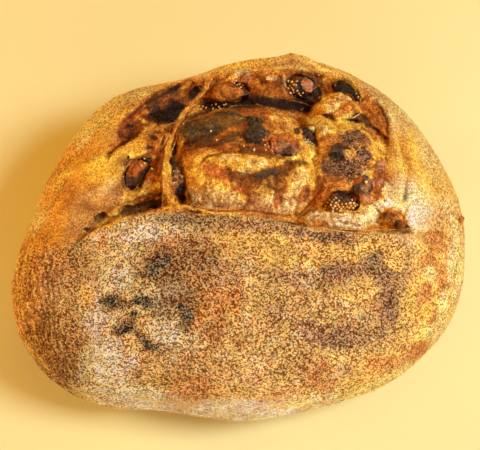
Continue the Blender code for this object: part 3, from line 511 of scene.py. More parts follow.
FIG_PAINT = (
    # The torn fig on the left
    ("umber", 0.9, 0.6, 0.4, (135, 171, 18, 22)),
    ("red", 0.9, 0.8, 0.5, (136, 165, 9, 8), (132, 172, 6, 6)),
    ("orange", 0.7, 0.8, 0.6, (137, 163, 6, 4)),
    ("violet", 0.9, 0.6, 0.4, (128, 181, 5, 6), (146, 160, 4, 3)),
    ("char", 0.85, 0.5, 0.3, (2, (129, 157), (138, 159), (149, 157)), (2, (146, 168), (138, 182),
     (130, 190))),
    # The fig beside the strand
    ("umber", 0.95, 0.6, 0.3, (178, 179, 10, 24, -8)),
    ("mauve", 0.8, 0.8, 0.6, (179, 176, 5, 8, -10), (175, 186, 4, 5)),
    ("red", 0.8, 0.7, 0.5, (174, 189, 3, 6), (176, 181, 3, 2)),
    ("char", 0.9, 0.5, 0.3, (171, 163, 2.6, 4), (182, 191, 3, 7, -10), (183, 170, 2, 5)),
    # Painted highlights on the fig's folds
    ("pale", 0.8, 0.3, 0.4, (1.0, (172, 178), (178, 176), (184, 177)), (0.9, (172, 183), (178, 182)),
     (0.9, (173, 171), (179, 172))),
    # The glossy flesh at the back
    ("rust", 0.9, 0.6, 0.3, (229, 89, 24, 12)),
    ("orange", 0.9, 0.8, 0.5, (221, 91, 13, 6), (240, 93, 11, 5, 10)),
    ("amber", 0.8, 0.8, 0.4, (232, 97, 14, 4, 6)),
    ("umber", 0.9, 0.8, 0.4, (240, 84, 8, 3.4, 20), (214, 84, 4, 4), (248, 92, 3, 5)),
    # The seeded fig at the back
    ("char", 0.96, 0.6, 0.2, (303, 88, 18, 15)),
    ("sienna", 0.8, 0.8, 1.0, (292, 86, 7, 10), (298, 77, 8, 4)),
    ("pink", 0.95, 1.0, 0.4, (308, 85, 6, 5, 20)),
    ("violet", 0.9, 1.0, 0.5, (312, 79, 6, 3, 20), (316, 86, 2.4, 6, 10), (307, 98, 5, 2)),
    ("red", 0.8, 0.6, 0.8, (305, 83, 3, 2), (1.2, (303, 88), (309, 91), (315, 88))),
    # The skin at the back on the right
    ("char", 0.95, 0.6, 0.2, (346, 90, 18, 12, 35)),
    ("rust", 0.8, 0.8, 0.9, (347, 96, 6, 4), (333, 83, 2.4, 2)),
    ("orange", 0.7, 0.6, 0.4, (346, 96, 3, 2), (362, 99, 4, 2, 20)),
    # The dark skin and the slice on the middle mound
    ("char", 0.9, 0.6, 0.2, (257, 131, 14, 17)),
    ("slate", 0.6, 0.8, 0.7, (258, 132, 9, 8), (251, 121, 4, 4)),
    ("sienna", 0.95, 0.6, 0.3, (283, 144, 20, 13)),
    ("red", 0.9, 0.8, 0.4, (270, 144, 6, 9), (278, 137, 8, 4), (293, 141, 6, 6)),
    ("mauve", 0.85, 0.8, 0.5, (284, 148, 9, 7), (292, 150, 5, 5)),
    ("violet", 0.8, 0.7, 0.5, (288, 151, 6, 4)),
    ("orange", 0.7, 0.6, 0.4, (289, 136, 5, 3)),
    ("pink", 0.7, 0.4, 0.4, (1.0, (272, 136), (273, 146), (272, 154)), (0.9, (297, 140), (299, 148),
     (294, 155))),
    # The fig in the valley
    ("char", 0.95, 0.6, 0.2, (308, 136, 11, 10, 20)),
    ("red", 0.95, 0.5, 0.3, (298, 131, 4.5, 3.4)),
    ("violet", 0.7, 0.6, 0.5, (308, 136, 5, 4, 20)),
    ("cream", 0.8, 0.6, 0.5, (309, 143, 7, 2.4, 25)),
    # The knob in the scorched dough
    ("slate", 0.9, 0.8, 0.4, (336, 153, 7, 6)),
    ("char", 0.95, 0.8, 0.6, (337, 155, 6, 4, 20)),
    ("sand", 0.8, 0.8, 0.6, (347, 154, 4.4, 5)),
    ("gold", 0.6, 0.5, 0.8, (348, 153, 2, 3)),
    # The dark fig on the right
    ("violet", 0.9, 0.7, 0.4, (363, 185, 11, 9)),
    ("red", 0.9, 0.6, 0.4, (356, 180, 5, 4)),
    ("mauve", 0.8, 0.6, 0.5, (365, 187, 5, 4), (369, 181, 3, 3)),
    # The seeded fig on the right
    ("sienna", 0.95, 0.6, 0.3, (343, 201, 19, 12)),
    ("violet", 0.9, 0.8, 0.6, (335, 200, 7, 3, -10), (347, 202, 6, 2)),
    ("char", 0.97, 0.8, 0.3, (344, 195, 7, 4.4, 25), (352, 199, 4, 3, 40)),
    ("rust", 0.7, 0.6, 0.7, (334, 206, 8, 3), (352, 206, 6, 3)),
    # The torn bits in the corner
    ("sienna", 0.95, 0.6, 0.4, (395, 220, 14, 10)),
    ("umber", 0.9, 0.8, 0.8, (389, 215, 6, 3, 20), (399, 223, 7, 3, 40)),
    ("rust", 0.8, 0.8, 0.7, (389, 217, 4, 3), (400, 223, 5, 4)),
    ("orange", 0.8, 0.8, 1.0, (394, 218, 5, 3), (402, 226, 5, 2), (388, 219, 3, 3)),
)  # fmt: skip

# The figs that show their skin
SKIN_FIGS = ("fig_back_skin", "fig_top_skin", "fig_valley", "fig_right_nub", "fig_right_dark",
             "fig_beside_strand")

# What shows of each fig between the folds of the dough
FIG_OUTLINES = {
    "fig_top_skin": ((246, 115), (257, 116), (260, 126), (272, 132), (269, 141), (259, 148), (247, 143),
        (243, 133), (249, 126)),
    "fig_left_torn": ((127, 155), (138, 159), (149, 156), (152, 162), (144, 176), (131, 193), (122, 187),
        (124, 172), (123, 162)),
    "fig_top_slice": ((264, 141), (273, 134), (285, 131), (296, 137), (301, 148), (294, 156), (279, 157),
        (267, 153)),
    "fig_back_skin": ((329, 81), (337, 83), (352, 86), (357, 94), (365, 97), (362, 103), (351, 102),
        (342, 99), (334, 91)),
    "fig_valley": ((292, 128), (303, 124), (313, 129), (319, 138), (318, 148), (306, 144), (297, 137)),
    "fig_right_seeded": ((325, 208), (328, 199), (337, 191), (349, 195), (356, 201), (359, 208), (348, 213),
        (332, 213)),
    "fig_corner": ((384, 213), (391, 216), (398, 214), (403, 221), (406, 228), (396, 226), (388, 220)),
    "fig_back_seeded": ((287, 78), (300, 75), (313, 76), (320, 84), (319, 98), (308, 102), (296, 98),
        (287, 92)),
    "fig_back_flesh": ((206, 98), (212, 84), (230, 80), (246, 86), (252, 94), (240, 101), (222, 103)),
    "fig_beside_strand": ((169, 157), (178, 163), (185, 172), (188, 184), (183, 199), (177, 197),
        (170, 186), (167, 172)),
}  # fmt: skip

# Seeds of the figs, each at a pixel
SEEDS = (
    (234, 83), (237, 85), (239.5, 84), (241, 87.5), (236, 81), (232, 82), (243, 85), (199, 106),
    (203, 106.5), (206, 108), (201, 109), (212, 105), (213, 108.5), (219, 107), (224, 105), (220, 109),
    (226, 104), (216, 104), (288.7, 81.4), (297, 81.4), (288, 84.6), (289.9, 86), (291.7, 87.8),
    (293.8, 84.5), (296, 85.2), (293.8, 92.4), (293.2, 89.8), (290.5, 93), (295.3, 95.4), (303, 93),
    (298.9, 93.4), (297.6, 90.6), (288.4, 88.4), (292, 82.2), (300.6, 95.2), (217, 140), (211, 131),
    (254, 150), (244, 146), (305, 139), (308, 140), (310, 142), (312, 144), (306, 142), (314, 145),
    (303, 141), (300, 138), (313, 151), (263, 140), (265, 145), (266, 150), (144.5, 158.5), (145, 163.5),
    (142, 166), (152, 169), (182, 177), (356, 94), (358, 97), (335, 100), (326, 206), (329, 207),
    (331, 205), (333, 208), (335, 206), (337, 209), (339, 207), (341, 209), (343, 207), (345, 209),
    (347, 207), (349, 208), (351, 206), (353, 208), (355, 206), (357, 205), (328, 203), (332, 202),
    (336, 203), (334, 200), (338, 205), (342, 204), (346, 204), (350, 203), (354, 203), (330, 200),
    (352, 200), (333, 211), (340, 211), (347, 211), (336, 198), (339, 201),
)  # fmt: skip
SEED_LENGTH = 0.0013
SEED_SPREAD = 0.0003
SEED_SHAPE = (0.5, 0.38, 0.30)  # half its length, width and height as shares of the length
SEED_COLOURS = ("gold", "pale", "pale", "cream")

# Threads of dough: colour, radius at the middle and lift in millimetres, pixels
THREADS = (
    ("gold", 0.4, 0.2, (204, 79), (204, 84), (206, 89), (208, 88), (208, 83)),
    ("gold", 0.35, 0.2, (206, 89), (203, 94), (198, 99)),
    ("gold", 0.3, 0.3, (186, 108), (190, 105), (193, 106), (197, 103)),
    ("gold", 0.3, 0.1, (187, 104), (190, 107), (192, 109)),
    ("gold", 0.4, 0.2, (176, 122), (170, 124), (163, 126), (155, 127)),
    ("gold", 0.3, 0.2, (181, 127), (185, 122), (188, 119)),
    ("gold", 0.35, 0.1, (171, 126), (169, 134), (165, 142), (161, 150)),
    ("honey", 0.35, 0.1, (168, 126), (164, 134), (160, 142), (158, 149)),
    ("gold", 0.4, 0.1, (178, 130), (176, 140), (172, 150), (169, 158)),
    ("gold", 0.35, 0.1, (165, 188), (163, 197), (162, 208)),
    ("gold", 0.35, 0.1, (167, 192), (170, 200), (176, 206)),
    ("cream", 0.35, 0.1, (198, 192), (196, 200), (190, 206)),
    ("gold", 0.45, 0.2, (176, 206), (187, 206), (199, 209), (212, 213), (226, 213), (245, 213)),
    ("honey", 0.4, 0.1, (184, 209), (192, 214), (204, 215), (214, 214)),
    ("gold", 0.4, 0.1, (122, 209), (128, 200), (138, 195), (150, 192), (160, 193)),
    ("honey", 0.35, 0.0, (136, 215), (152, 213), (165, 209), (173, 206)),
    ("gold", 0.35, 0.1, (286, 220), (310, 226), (340, 229), (372, 230), (408, 229)),
    ("pale", 0.3, 0.1, (300, 224), (330, 230), (365, 233), (400, 233)),
    ("rust", 0.3, 0.0, (276, 97), (290, 100), (306, 104), (318, 111)),
    ("pale", 0.35, 0.1, (344, 119), (352, 118), (358, 115), (361, 112)),
    ("cream", 0.3, 0.0, (380, 210), (385, 201), (390, 196)),
)  # fmt: skip

THREAD_SIDES = 7

# Crumbs: pixel, half its length in millimetres and colour
CRUMBS = (
    (386, 215, 1.1, "umber"), (391, 218, 1.2, "rust"), (394, 216, 0.8, "sienna"), (398, 222, 1.2, "umber"),
    (402, 226, 1.0, "rust"), (396, 225, 0.9, "char"), (376, 170, 1.0, "mauve"), (382, 176, 1.1, "rust"),
    (378, 182, 0.9, "pink"), (384, 166, 0.9, "mauve"), (371, 166, 1.0, "pale"), (366, 182, 0.9, "pale"),
    (319, 75, 0.9, "flour"), (340, 118, 0.8, "pale"), (226, 176, 0.8, "red"), (302, 109, 1.3, "violet"),
    (254, 149, 0.8, "cream"), (150, 158, 0.9, "umber"), (128, 157, 0.9, "char"), (121, 190, 0.9, "fawn"),
)  # fmt: skip
FLAKE = (459, 219)  # the dry flake at the right edge
FLAKE_SIZE = (0.0014, 0.0019, 0.0008)
FLAKE_SHIFT = (0.0012, 0, 0.0)

# How the figs sit in the dough
FIG_GAP = 0.0005  # how far the dough reaches in round a fig
FIG_STEP = 0.0005  # how far the dough behind a fig lies below its face
FIG_HIDDEN = 2.4  # how far a fig draws back under the dough outside its outline, in millimetres
FIG_REACH = (0.0010, 0.0022)  # dough nearer than this to a fig takes the fig's paint

# The dusting of flour
FLOUR_GRAINS = 20000
FLOUR_GRAIN_SIZE = (0.00016, 0.00036)
FLOUR_STRETCH = (0.6, 1.4)
FLOUR_SCATTER = 0.0004
FLOUR_HEIGHTS = (0.004, 0.03)  # there is less of it below
FLOUR_ON_PALE = (0.16, 0.42)  # and on crust darker than this
FLOUR_COLOURS = {"cream": 0.25, "butter": 0.35, "pale": 0.25, "gold": 0.15}

# Noise that doesn't depend on Blender's random state
HASH = (0x9E3779B1, 0x85EBCA77, 0xC2B2AE3D, 0x2C1B3C6D, 0x297A2D39)
TURN = np.array(((0.36, 0.48, -0.80), (-0.80, 0.60, 0.0), (0.48, 0.64, 0.60)))


def ease(share):
    """A smooth step from 0 to 1."""
    share = np.clip(share, 0, 1)
    return share * share * (3 - 2 * share)


def between(value, low, high):
    """A smooth step from 0 at low to 1 at high."""
    return ease((value - low) / (high - low))


def linear(red, green, blue):
    """A colour as the screen shows it, 0 to 255, in linear light."""
    screen = np.array((red, green, blue)) / 255
    return np.where(screen <= 0.04045, screen / 12.92, ((screen + 0.055) / 1.055) ** 2.4)


def finish_of(name):
    """A palette colour as a surface of that look has it under this light, with its flour, grain and gloss."""
    row = PALETTE[name]
    return np.concatenate([linear(*row[:3]) / TINT, row[3:]])


def lattice(cells):
    """A repeatable number from -1 to 1 for each cell of a grid."""
    i, j, k = cells.astype(np.uint32).T
    mixed = i * np.uint32(HASH[0]) ^ j * np.uint32(HASH[1]) ^ k * np.uint32(HASH[2])
    mixed = (mixed ^ (mixed >> np.uint32(15))) * np.uint32(HASH[3])
    mixed = (mixed ^ (mixed >> np.uint32(12))) * np.uint32(HASH[4])
    return (mixed ^ (mixed >> np.uint32(15))) / 2.0**31 - 1


def noise_at(points, size, octaves=2, seed=0):
    """Smooth noise of about -1 to 1 at each point, with features of about the given size."""
    places = np.asarray(points, float) / size + 17.3 * seed
    total = np.zeros(len(places))
    for octave in range(octaves):
        places = places @ TURN
        cell = np.floor(places)
        share = ease(places - cell)
        cell = cell.astype(np.int64)
        for corner in range(8):
            step = np.array((corner & 1, corner >> 1 & 1, corner >> 2))
            near = np.where(step, share, 1 - share).prod(axis=1)
            total += 0.5**octave * near * lattice(cell + step)
        places = places * 2.03
    return total


def creases(points, size, octaves, seed, width):
    """1 along thin lines where the noise passes through nothing, 0 away from them."""
    return np.exp(-((noise_at(points, size, octaves, seed) / width) ** 2))


def project(points):
    """Pixel x, pixel y and distance ahead of the camera of each point."""
    offset = points - EYE
    depth = offset @ AHEAD
    x = PHOTO_SIZE[0] / 2 + FOCAL * (offset @ ACROSS) / depth
    y = PHOTO_SIZE[1] / 2 - FOCAL * (offset @ UPWARD) / depth
    return x, y, depth


def sight(x, y):
    """The direction from the camera through a pixel."""
    ray = (x - PHOTO_SIZE[0] / 2) * ACROSS - (y - PHOTO_SIZE[1] / 2) * UPWARD + FOCAL * AHEAD
    return Vector(ray / np.linalg.norm(ray))


def strike(tree, x, y):
    """Where the line of sight through a pixel meets a surface, and the surface's normal there."""
    place, normal, _, _ = tree.ray_cast(Vector(EYE), sight(x, y))
    return place, normal


def smooth_line(points, steps=6):
    """Points along a Catmull-Rom curve through the given ones."""
    knots = np.array(points, float)
    padded = np.vstack([2 * knots[:1] - knots[1:2], knots, 2 * knots[-1:] - knots[-2:-1]])
    share = np.linspace(0, 1, steps, endpoint=False)[:, None]
    runs = []
    for a, b, c, d in zip(padded, padded[1:], padded[2:], padded[3:]):
        runs.append(
            0.5 * (2 * b + (c - a) * share + (2 * a - 5 * b + 4 * c - d) * share**2
                   + (3 * b - a - 3 * c + d) * share**3)
        )
    return np.vstack(runs + [knots[-1:]])


def gap_to_line(places, path):
    """Distance of each place from a line of points, and the nearest point of the line."""
    gap = np.full(len(places), np.inf)
    nearest = np.zeros_like(places)
    for a, b in zip(path, path[1:]):
        step = b - a
        share = np.clip((places - a) @ step / max(step @ step, 1e-12), 0, 1)
        foot = a + share[:, None] * step
        away = np.linalg.norm(places - foot, axis=1)
        closer = away < gap
        gap[closer] = away[closer]
        nearest[closer] = foot[closer]
    return gap, nearest


def new_object(name, mesh):
    """A named object in the scene."""
    obj = bpy.data.objects.new(name, mesh)
    bpy.context.scene.collection.objects.link(obj)
    return obj


def modify(obj, kind, **settings):
    """Adds a modifier with its settings."""
    modifier = obj.modifiers.new(kind.lower(), kind)
    for key, value in settings.items():
        setattr(modifier, key, value)


def apply_modifiers(obj):
    """Replaces an object's mesh by what its modifiers make of it."""
    graph = bpy.context.evaluated_depsgraph_get()
    mesh = bpy.data.meshes.new_from_object(obj.evaluated_get(graph), depsgraph=graph)
    obj.modifiers.clear()
    old = obj.data
    obj.data = mesh
    bpy.data.meshes.remove(old)
    return obj


def mesh_points(mesh):
    """A mesh's points as an array."""
    points = np.empty(len(mesh.vertices) * 3)
    mesh.vertices.foreach_get("co", points)
    return points.reshape(-1, 3)


def mesh_normals(mesh):
    """The normals at a mesh's points as an array."""
    normals = np.empty(len(mesh.vertices) * 3)
    mesh.vertex_normals.foreach_get("vector", normals)
    return normals.reshape(-1, 3)


def set_points(mesh, points):
    """Moves a mesh's points."""
    mesh.vertices.foreach_set("co", points.ravel())
    mesh.update()


def set_finish(mesh, finish):
    """Gives each point its colour and how floury, grainy and glossy it is."""
    rows = np.hstack([np.clip(finish[:, :3], 0, 1), np.ones((len(finish), 1))])
    layer = mesh.attributes.new("paint", "FLOAT_COLOR", "POINT")
    layer.data.foreach_set("color", rows.astype(np.float32).ravel())
    for column, name in enumerate(("flour", "grain", "gloss"), 3):
        layer = mesh.attributes.new(name, "FLOAT", "POINT")
        layer.data.foreach_set("value", finish[:, column].astype(np.float32))


def surface_tree(objects):
    """One search tree over the faces of several objects."""
    points = []
    faces = []
    for obj in objects:
        start = len(points)
        points.extend(map(tuple, mesh_points(obj.data)))
        faces.extend([start + i for i in face.vertices] for face in obj.data.polygons)
    return BVHTree.FromPolygons(points, faces)


class Surface:
    """A mesh's points with what shaping and painting need: where the photograph shows each of them."""

    SEEN_DEPTH = 0.004  # a point this far behind what shows at its pixel counts as half hidden
    WARP = ((0.0070, 2.6, 21, 26), (0.0022, 1.1, 22, 27))  # wandering of edges: size, pixels and two seeds
    EDGE_ROUGH = 0.4  # share of the wandering that the edge of an area has

    def __init__(self, mesh):
        self.points = mesh_points(mesh)
        self.normals = mesh_normals(mesh)
        self.x, self.y, depth = project(self.points)
        column = np.clip(self.x.astype(int), 0, PHOTO_SIZE[0] - 1)
        row = np.clip(self.y.astype(int), 0, PHOTO_SIZE[1] - 1)
        nearest = np.full((PHOTO_SIZE[1], PHOTO_SIZE[0]), np.inf)
        np.minimum.at(nearest, (row, column), depth)
        behind = depth - nearest[row, column]
        self.seen = 1 - between(behind, self.SEEN_DEPTH * 0.5, self.SEEN_DEPTH * 1.5)
        self.warp_x = sum(p * noise_at(self.points, size, 2, seed) for size, p, seed, _ in self.WARP)
        self.warp_y = sum(p * noise_at(self.points, size, 2, seed) for size, p, _, seed in self.WARP)

    def noise(self, name):
        """One of the named noises at each point."""
        return noise_at(self.points, *NOISES[name])

    def wandered(self, rough):
        """Pixel of each point, moved by a share of the wandering."""
        return np.stack([self.x + self.warp_x * rough, self.y + self.warp_y * rough], axis=1)

    def turned(self, x, y, degrees, rough=0.0):
        """Pixels along and across a direction from a pixel."""
        turn = math.radians(degrees)
        dx = self.x + self.warp_x * rough - x
        dy = self.y + self.warp_y * rough - y
        return dx * math.cos(turn) + dy * math.sin(turn), dy * math.cos(turn) - dx * math.sin(turn)

    def spot(self, x, y, along, across, degrees=0, rough=1.0, soft=0.6):
        """Share of an ellipse of the photograph, with a soft and wandering edge."""
        u, v = self.turned(x, y, degrees, rough)
        return ease((1 + soft / 2 - np.hypot(u / along, v / across)) / soft) * self.seen

    def line(self, points, width, rough=0.4, soft=0.8):
        """Share of a line of the photograph, full at its middle."""
        path = smooth_line(points, 4)
        places = self.wandered(rough)
        low = path.min(0) - 2 * width
        high = path.max(0) + 2 * width
        near = ((places > low) & (places < high)).all(axis=1)
        gap = np.full(len(places), np.inf)
        gap[near] = gap_to_line(places[near], path)[0]
        return ease((width / 2 * (1 + soft) - gap) / (width * soft)) * self.seen

    def area(self, corners, soft):
        """Share of an area of the photograph, with an edge as soft as the given pixels."""
        corners = np.array(corners, float)
        places = self.wandered(self.EDGE_ROUGH)
        odd = np.zeros(len(places), bool)
        for a, b in zip(corners, np.roll(corners, -1, axis=0)):
            crosses = (b[1] > places[:, 1]) != (a[1] > places[:, 1])
            slope = (b[0] - a[0]) / (b[1] - a[1] if b[1] != a[1] else 1)
            odd ^= crosses & (places[:, 0] < a[0] + (places[:, 1] - a[1]) * slope)
        gap, _ = gap_to_line(places, np.vstack([corners, corners[:1]]))
        return ease(0.5 + np.where(odd, gap, -gap) / soft)

    def wrinkles(self):
        """Height in millimetres and shade of the wrinkles that run their own way in each place; the shade is
        painted, darker in their hollows and lighter on their ridges.
        """
        height = np.zeros(len(self.points))
        shade = np.zeros(len(self.points))
        for seed, (place, degrees, length, width, rise, contrast) in enumerate(WRINKLES, 80):
            mask = self.spot(*place, soft=0.9)
            inside = mask > 0
            u, v = self.turned(*place[:2], degrees, 1.0)
            stretched = np.stack([u / length, v / width, u * 0], axis=1)[inside]
            wave = noise_at(stretched, 1.0, 2, seed) * mask[inside]
            height[inside] += rise * wave
            shade[inside] += contrast * wave
        return height, shade


def regions(s):
    """How far each point belongs to the score, the front crust and the left ridges."""
    score = s.area(OPENING, 3.0) * between(s.points[:, 2], *SCORE_HEIGHTS)
    panel = s.area(PANEL, 5.0) * s.seen
    lip_y = np.interp(s.x, *np.array(LIP).T)
    front = between(s.y - lip_y + 0.6 * s.warp_y, -1.5, 1.5)
    outline = np.array(LEFT_OUTLINE)
    from_left = s.x - np.interp(s.y, outline[:, 1], outline[:, 0])
    ridged = between(from_left, *RIDGES_LEFT) * (1 - between(from_left, *RIDGES_RIGHT))
    ridged *= between(s.y, *RIDGES_TOP) * (1 - between(s.y, *RIDGES_BOTTOM)) * s.seen
    wave = np.sin(2 * math.pi * (from_left + RIDGE_WANDER * s.noise("ridge") + s.warp_x) / RIDGE_SPACING)
    return {"score": score, "panel": panel, "front": front, "ridged": ridged, "wave": wave}


def fig_nodes():
    """The names of the figs' nodes, in order."""
    return sorted(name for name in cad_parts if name.startswith("fig_"))


def make_body():
    """The loaf's own mesh with the dough closed up against its figs, in small even faces."""
    together = bmesh.new()
    for node in fig_nodes():
        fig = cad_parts[node].data.copy()
        normals = mesh_normals(fig)
        sideways = normals - (normals @ AHEAD)[:, None] * AHEAD
        set_points(fig, mesh_points(fig) + sideways * FIG_GAP + AHEAD * FIG_STEP)
        together.from_mesh(fig)
        bpy.data.meshes.remove(fig)
    together.from_mesh(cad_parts["loaf"].data)
    mesh = bpy.data.meshes.new("loaf_body")
    together.to_mesh(mesh)
    together.free()
    body = new_object("loaf_body", mesh)
    modify(body, "WELD", merge_threshold=WELD)
    modify(body, "SUBSURF", levels=1, render_levels=1)
    modify(body, "REMESH", mode="VOXEL", voxel_size=VOXEL)
    modify(body, "SMOOTH", factor=0.5, iterations=6)
    return apply_modifiers(body)


def thin_strand(body):
    """Draws the strand's surface in towards its middle line, which is thinner in the real one."""
    tree = surface_tree([body])
    middle = []
    for x, y in smooth_line(STRAND, 3):
        place, _ = strike(tree, x, y)
        middle.append(np.array(place + sight(x, y) * STRAND_RADIUS))
    points = mesh_points(body.data)
    reach = 0.005
    near = (points > np.min(middle, axis=0) - reach).all(axis=1)
    near &= (points < np.max(middle, axis=0) + reach).all(axis=1)
    gap, foot = gap_to_line(points[near], middle)
    held = 1 - between(gap, STRAND_RADIUS * STRAND_HELD[0], STRAND_RADIUS * STRAND_HELD[1])
    ends = np.minimum(np.linalg.norm(foot - middle[0], axis=1), np.linalg.norm(foot - middle[-1], axis=1))
    held *= between(ends, 0.0, STRAND_ENDS)
    points[near] += (foot - points[near]) * (held * (1 - STRAND_THINNING))[:, None]
    set_points(body.data, points)


def shape_body(body):
    """Moves the body's points along their normals by the crust's grain, folds, ridges and cracks."""
    s = Surface(body.data)
    r = regions(s)
    score = r["score"]
    height, _ = s.wrinkles()
    for rise, width, rough, *points in LINES:
        height += rise * s.line(points, width, rough)
    for rise, *place in DENTS:
        height += rise * s.spot(*place, rough=0.8, soft=0.9)
    height += RIDGE_RELIEF * r["ridged"] * r["wave"]
    grit = s.noise("grit")
    crease = creases(s.points, *NOISES["crease"], CREASE_WIDTH)
    height += score * (DOUGH_RELIEF * s.noise("dough") + DOUGH_GRIT * grit - DOUGH_CREASE * crease)
    height += (1 - score) * (CRUST_RELIEF * s.noise("crust") + CRUST_GRIT * grit)
    height *= between(s.points[:, 2], *FLAT_BASE)
    set_points(body.data, s.points + s.normals * height[:, None] * MM)
    groups = body.vertex_groups.new(name="coarse")
    weight = np.clip(1 - FINE_SCORE * np.maximum(score, r["front"] * s.seen * FINE_FRONT), 0.02, 1)
    steps = np.round(weight * 10).astype(int)
    for step in range(11):
        members = np.flatnonzero(steps == step)
        if len(members):
            groups.add(members.tolist(), step / 10, "REPLACE")
    ratio = BODY_TRIANGLES / (2 * len(body.data.polygons))
    modify(body, "DECIMATE", ratio=ratio, vertex_group="coarse", vertex_group_factor=1.0)
    apply_modifiers(body)


def brush(s, finish, layers, allowed, soft=0.6):
    """Paints layers of spots and lines over the finish, where they are allowed."""
    mottle = 0.8 * s.noise("mottle") + 0.8 * s.noise("fine_mottle")
    for name, amount, rough, broken, *marks in layers:
        mask = np.zeros(len(s.points))
        for mark in marks:
            if isinstance(mark[1], tuple):
                width, *points = mark
                share = s.line(points, width, rough * 0.5)
            else:
                length = mark[2]
                share = s.spot(*mark, rough=rough, soft=min(soft, 0.4 + length / SOFT_LENGTH))
            mask = np.maximum(mask, share)
        ragged = mask + broken * mottle * (0.45 + 2.4 * mask * (1 - mask))
        mask = between(ragged, 0.5 - 0.8 * soft, 0.5 + 0.5 * soft) * between(mask, 0, 0.15)
        finish += (finish_of(name) - finish) * (mask * amount * allowed)[:, None]


def closeness(points, tree, near, far):
    """1 where a point is nearer a surface than the first distance, falling to 0 at the second."""
    gap = np.full(len(points), far)
    for i, point in enumerate(points):
        _, _, _, distance = tree.find_nearest(Vector(point), far)
        if distance is not None:
            gap[i] = distance
    return 1 - between(gap, near, far)


def paint_body(body):
    """Gives the body its colours and how floury, grainy and glossy each place is."""
    s = Surface(body.data)
    r = regions(s)
    front = r["front"]
    wide = s.noise("wide")
    small = s.noise("small")
    tiny = s.noise("tiny")

    def blend(first, second, share):
        share = np.clip(share, 0, 1)[:, None]
        return finish_of(first) * (1 - share) + finish_of(second) * share

    def cover(other, amount):
        finish[:] += (other - finish) * np.clip(amount, 0, 1)[:, None]

    finish = blend("tan", "honey", 0.55 + 0.8 * wide + 0.4 * small)
    cover(blend("rust", "amber", 0.5 + small), 0.6 * between(wide + 0.6 * tiny, 0.45, 0.9))
    floured = between(0.7 * small + 0.7 * tiny - 0.4 * wide, 0.35, 0.8)
    cover(blend("cream", "flour", 0.5 + small), 0.7 * floured)
    under = 1 - between(s.points[:, 2], *TOASTED_BASE)
    cover(blend("sienna", "umber", 0.5 + small), 0.8 * under)
    floury = blend("sand", "straw", 0.5 + 0.8 * wide + 0.6 * small)
    cover(floury, front * (1 - 0.5 * under))
    cover(blend("fawn", "sienna", 0.3 + tiny), front * 0.5 * between(small + 0.8 * tiny, 0.25, 0.8))
    cover(blend("cream", "gold", 0.4 + small), front * 0.4 * between(0.7 * tiny - small, 0.25, 0.8))
    cover(blend("honey", "gold", 0.5 + small + 0.5 * tiny), r["panel"])
    brush(s, finish, OUTER_PAINT, 1 - front, 1.0)
    brush(s, finish, CRUST_PAINT, front, 1.3)
    brush(s, finish, SCORCH_PAINT, front, 0.6)
    brush(s, finish, EDGE_PAINT, front, 1.3)
    cover(blend("honey", "amber", 0.45 + small), r["score"])
    brush(s, finish, SCORE_PAINT, 1 - front)

    # The flour and the grain of each place
    dusted = 0.14 + 0.12 * between(-finish[:, 0], -0.30, -0.06)
    finish[:, 3] = np.maximum(finish[:, 3], dusted * front * s.seen)
    grain = np.maximum(finish[:, 4], front * (0.95 - 0.45 * between(s.x, *GRAIN_FADES)) * s.seen)
    grain *= 1 - 0.15 * r["ridged"]
    sides = 1 - between(s.x, *LEFT_SIDE_ENDS) + between(s.x, *RIGHT_SIDE_BEGINS)
    grain = np.maximum(grain, 0.70 * sides * s.seen)
    grain *= 1 - 0.85 * np.maximum(r["panel"], r["score"]) * (1 - front)
    grain *= 1 - 0.9 * np.maximum(s.spot(*RIGHT_BAND), s.spot(*BACK_RIM))
    grain = np.maximum(grain, 0.8 * s.spot(*SCORCHED_DOUGH, rough=1.5) * r["score"])
    grain *= 1 - 0.45 * s.spot(*BOTTOM_RIM)
    finish[:, 4] = grain

    # The colours of the figs on the dough beside them
    torn = r["score"] > 0.01
    by_fig = np.zeros(len(s.points))
    for node in fig_nodes():
        close = np.zeros(len(s.points))
        close[torn] = closeness(s.points[torn], surface_tree([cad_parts[node]]), *FIG_REACH)
        if node in FIG_OUTLINES:
            close *= s.area(FIG_OUTLINES[node], 3.0)
        by_fig = np.maximum(by_fig, close)
    brush(s, finish, FIG_PAINT, by_fig)

    # The shade of wrinkles, ridges and creases: painted shade in their hollows, grooves and creases and
    # painted light on the wrinkles' and ridges' tops; and patches of toast and ochre, which are the crust's
    # own colours
    _, shade = s.wrinkles()
    shade += 0.50 * r["ridged"] * r["wave"] + 0.14 * tiny
    shade += 0.26 * front * s.seen * (s.noise("toast") + 0.5 * s.noise("wide_toast"))
    ochre = front * s.seen * (s.noise("ochre") + 0.6 * s.noise("wide_ochre"))
    crease = creases(s.points, *NOISES["crease"], CREASE_WIDTH)
    shade += r["score"] * (0.35 * tiny - 0.35 * crease)
    finish[:, :3] *= np.exp(shade[:, None] * SHADE_TINT + ochre[:, None] * OCHRE_TINT)
    set_finish(body.data, finish)


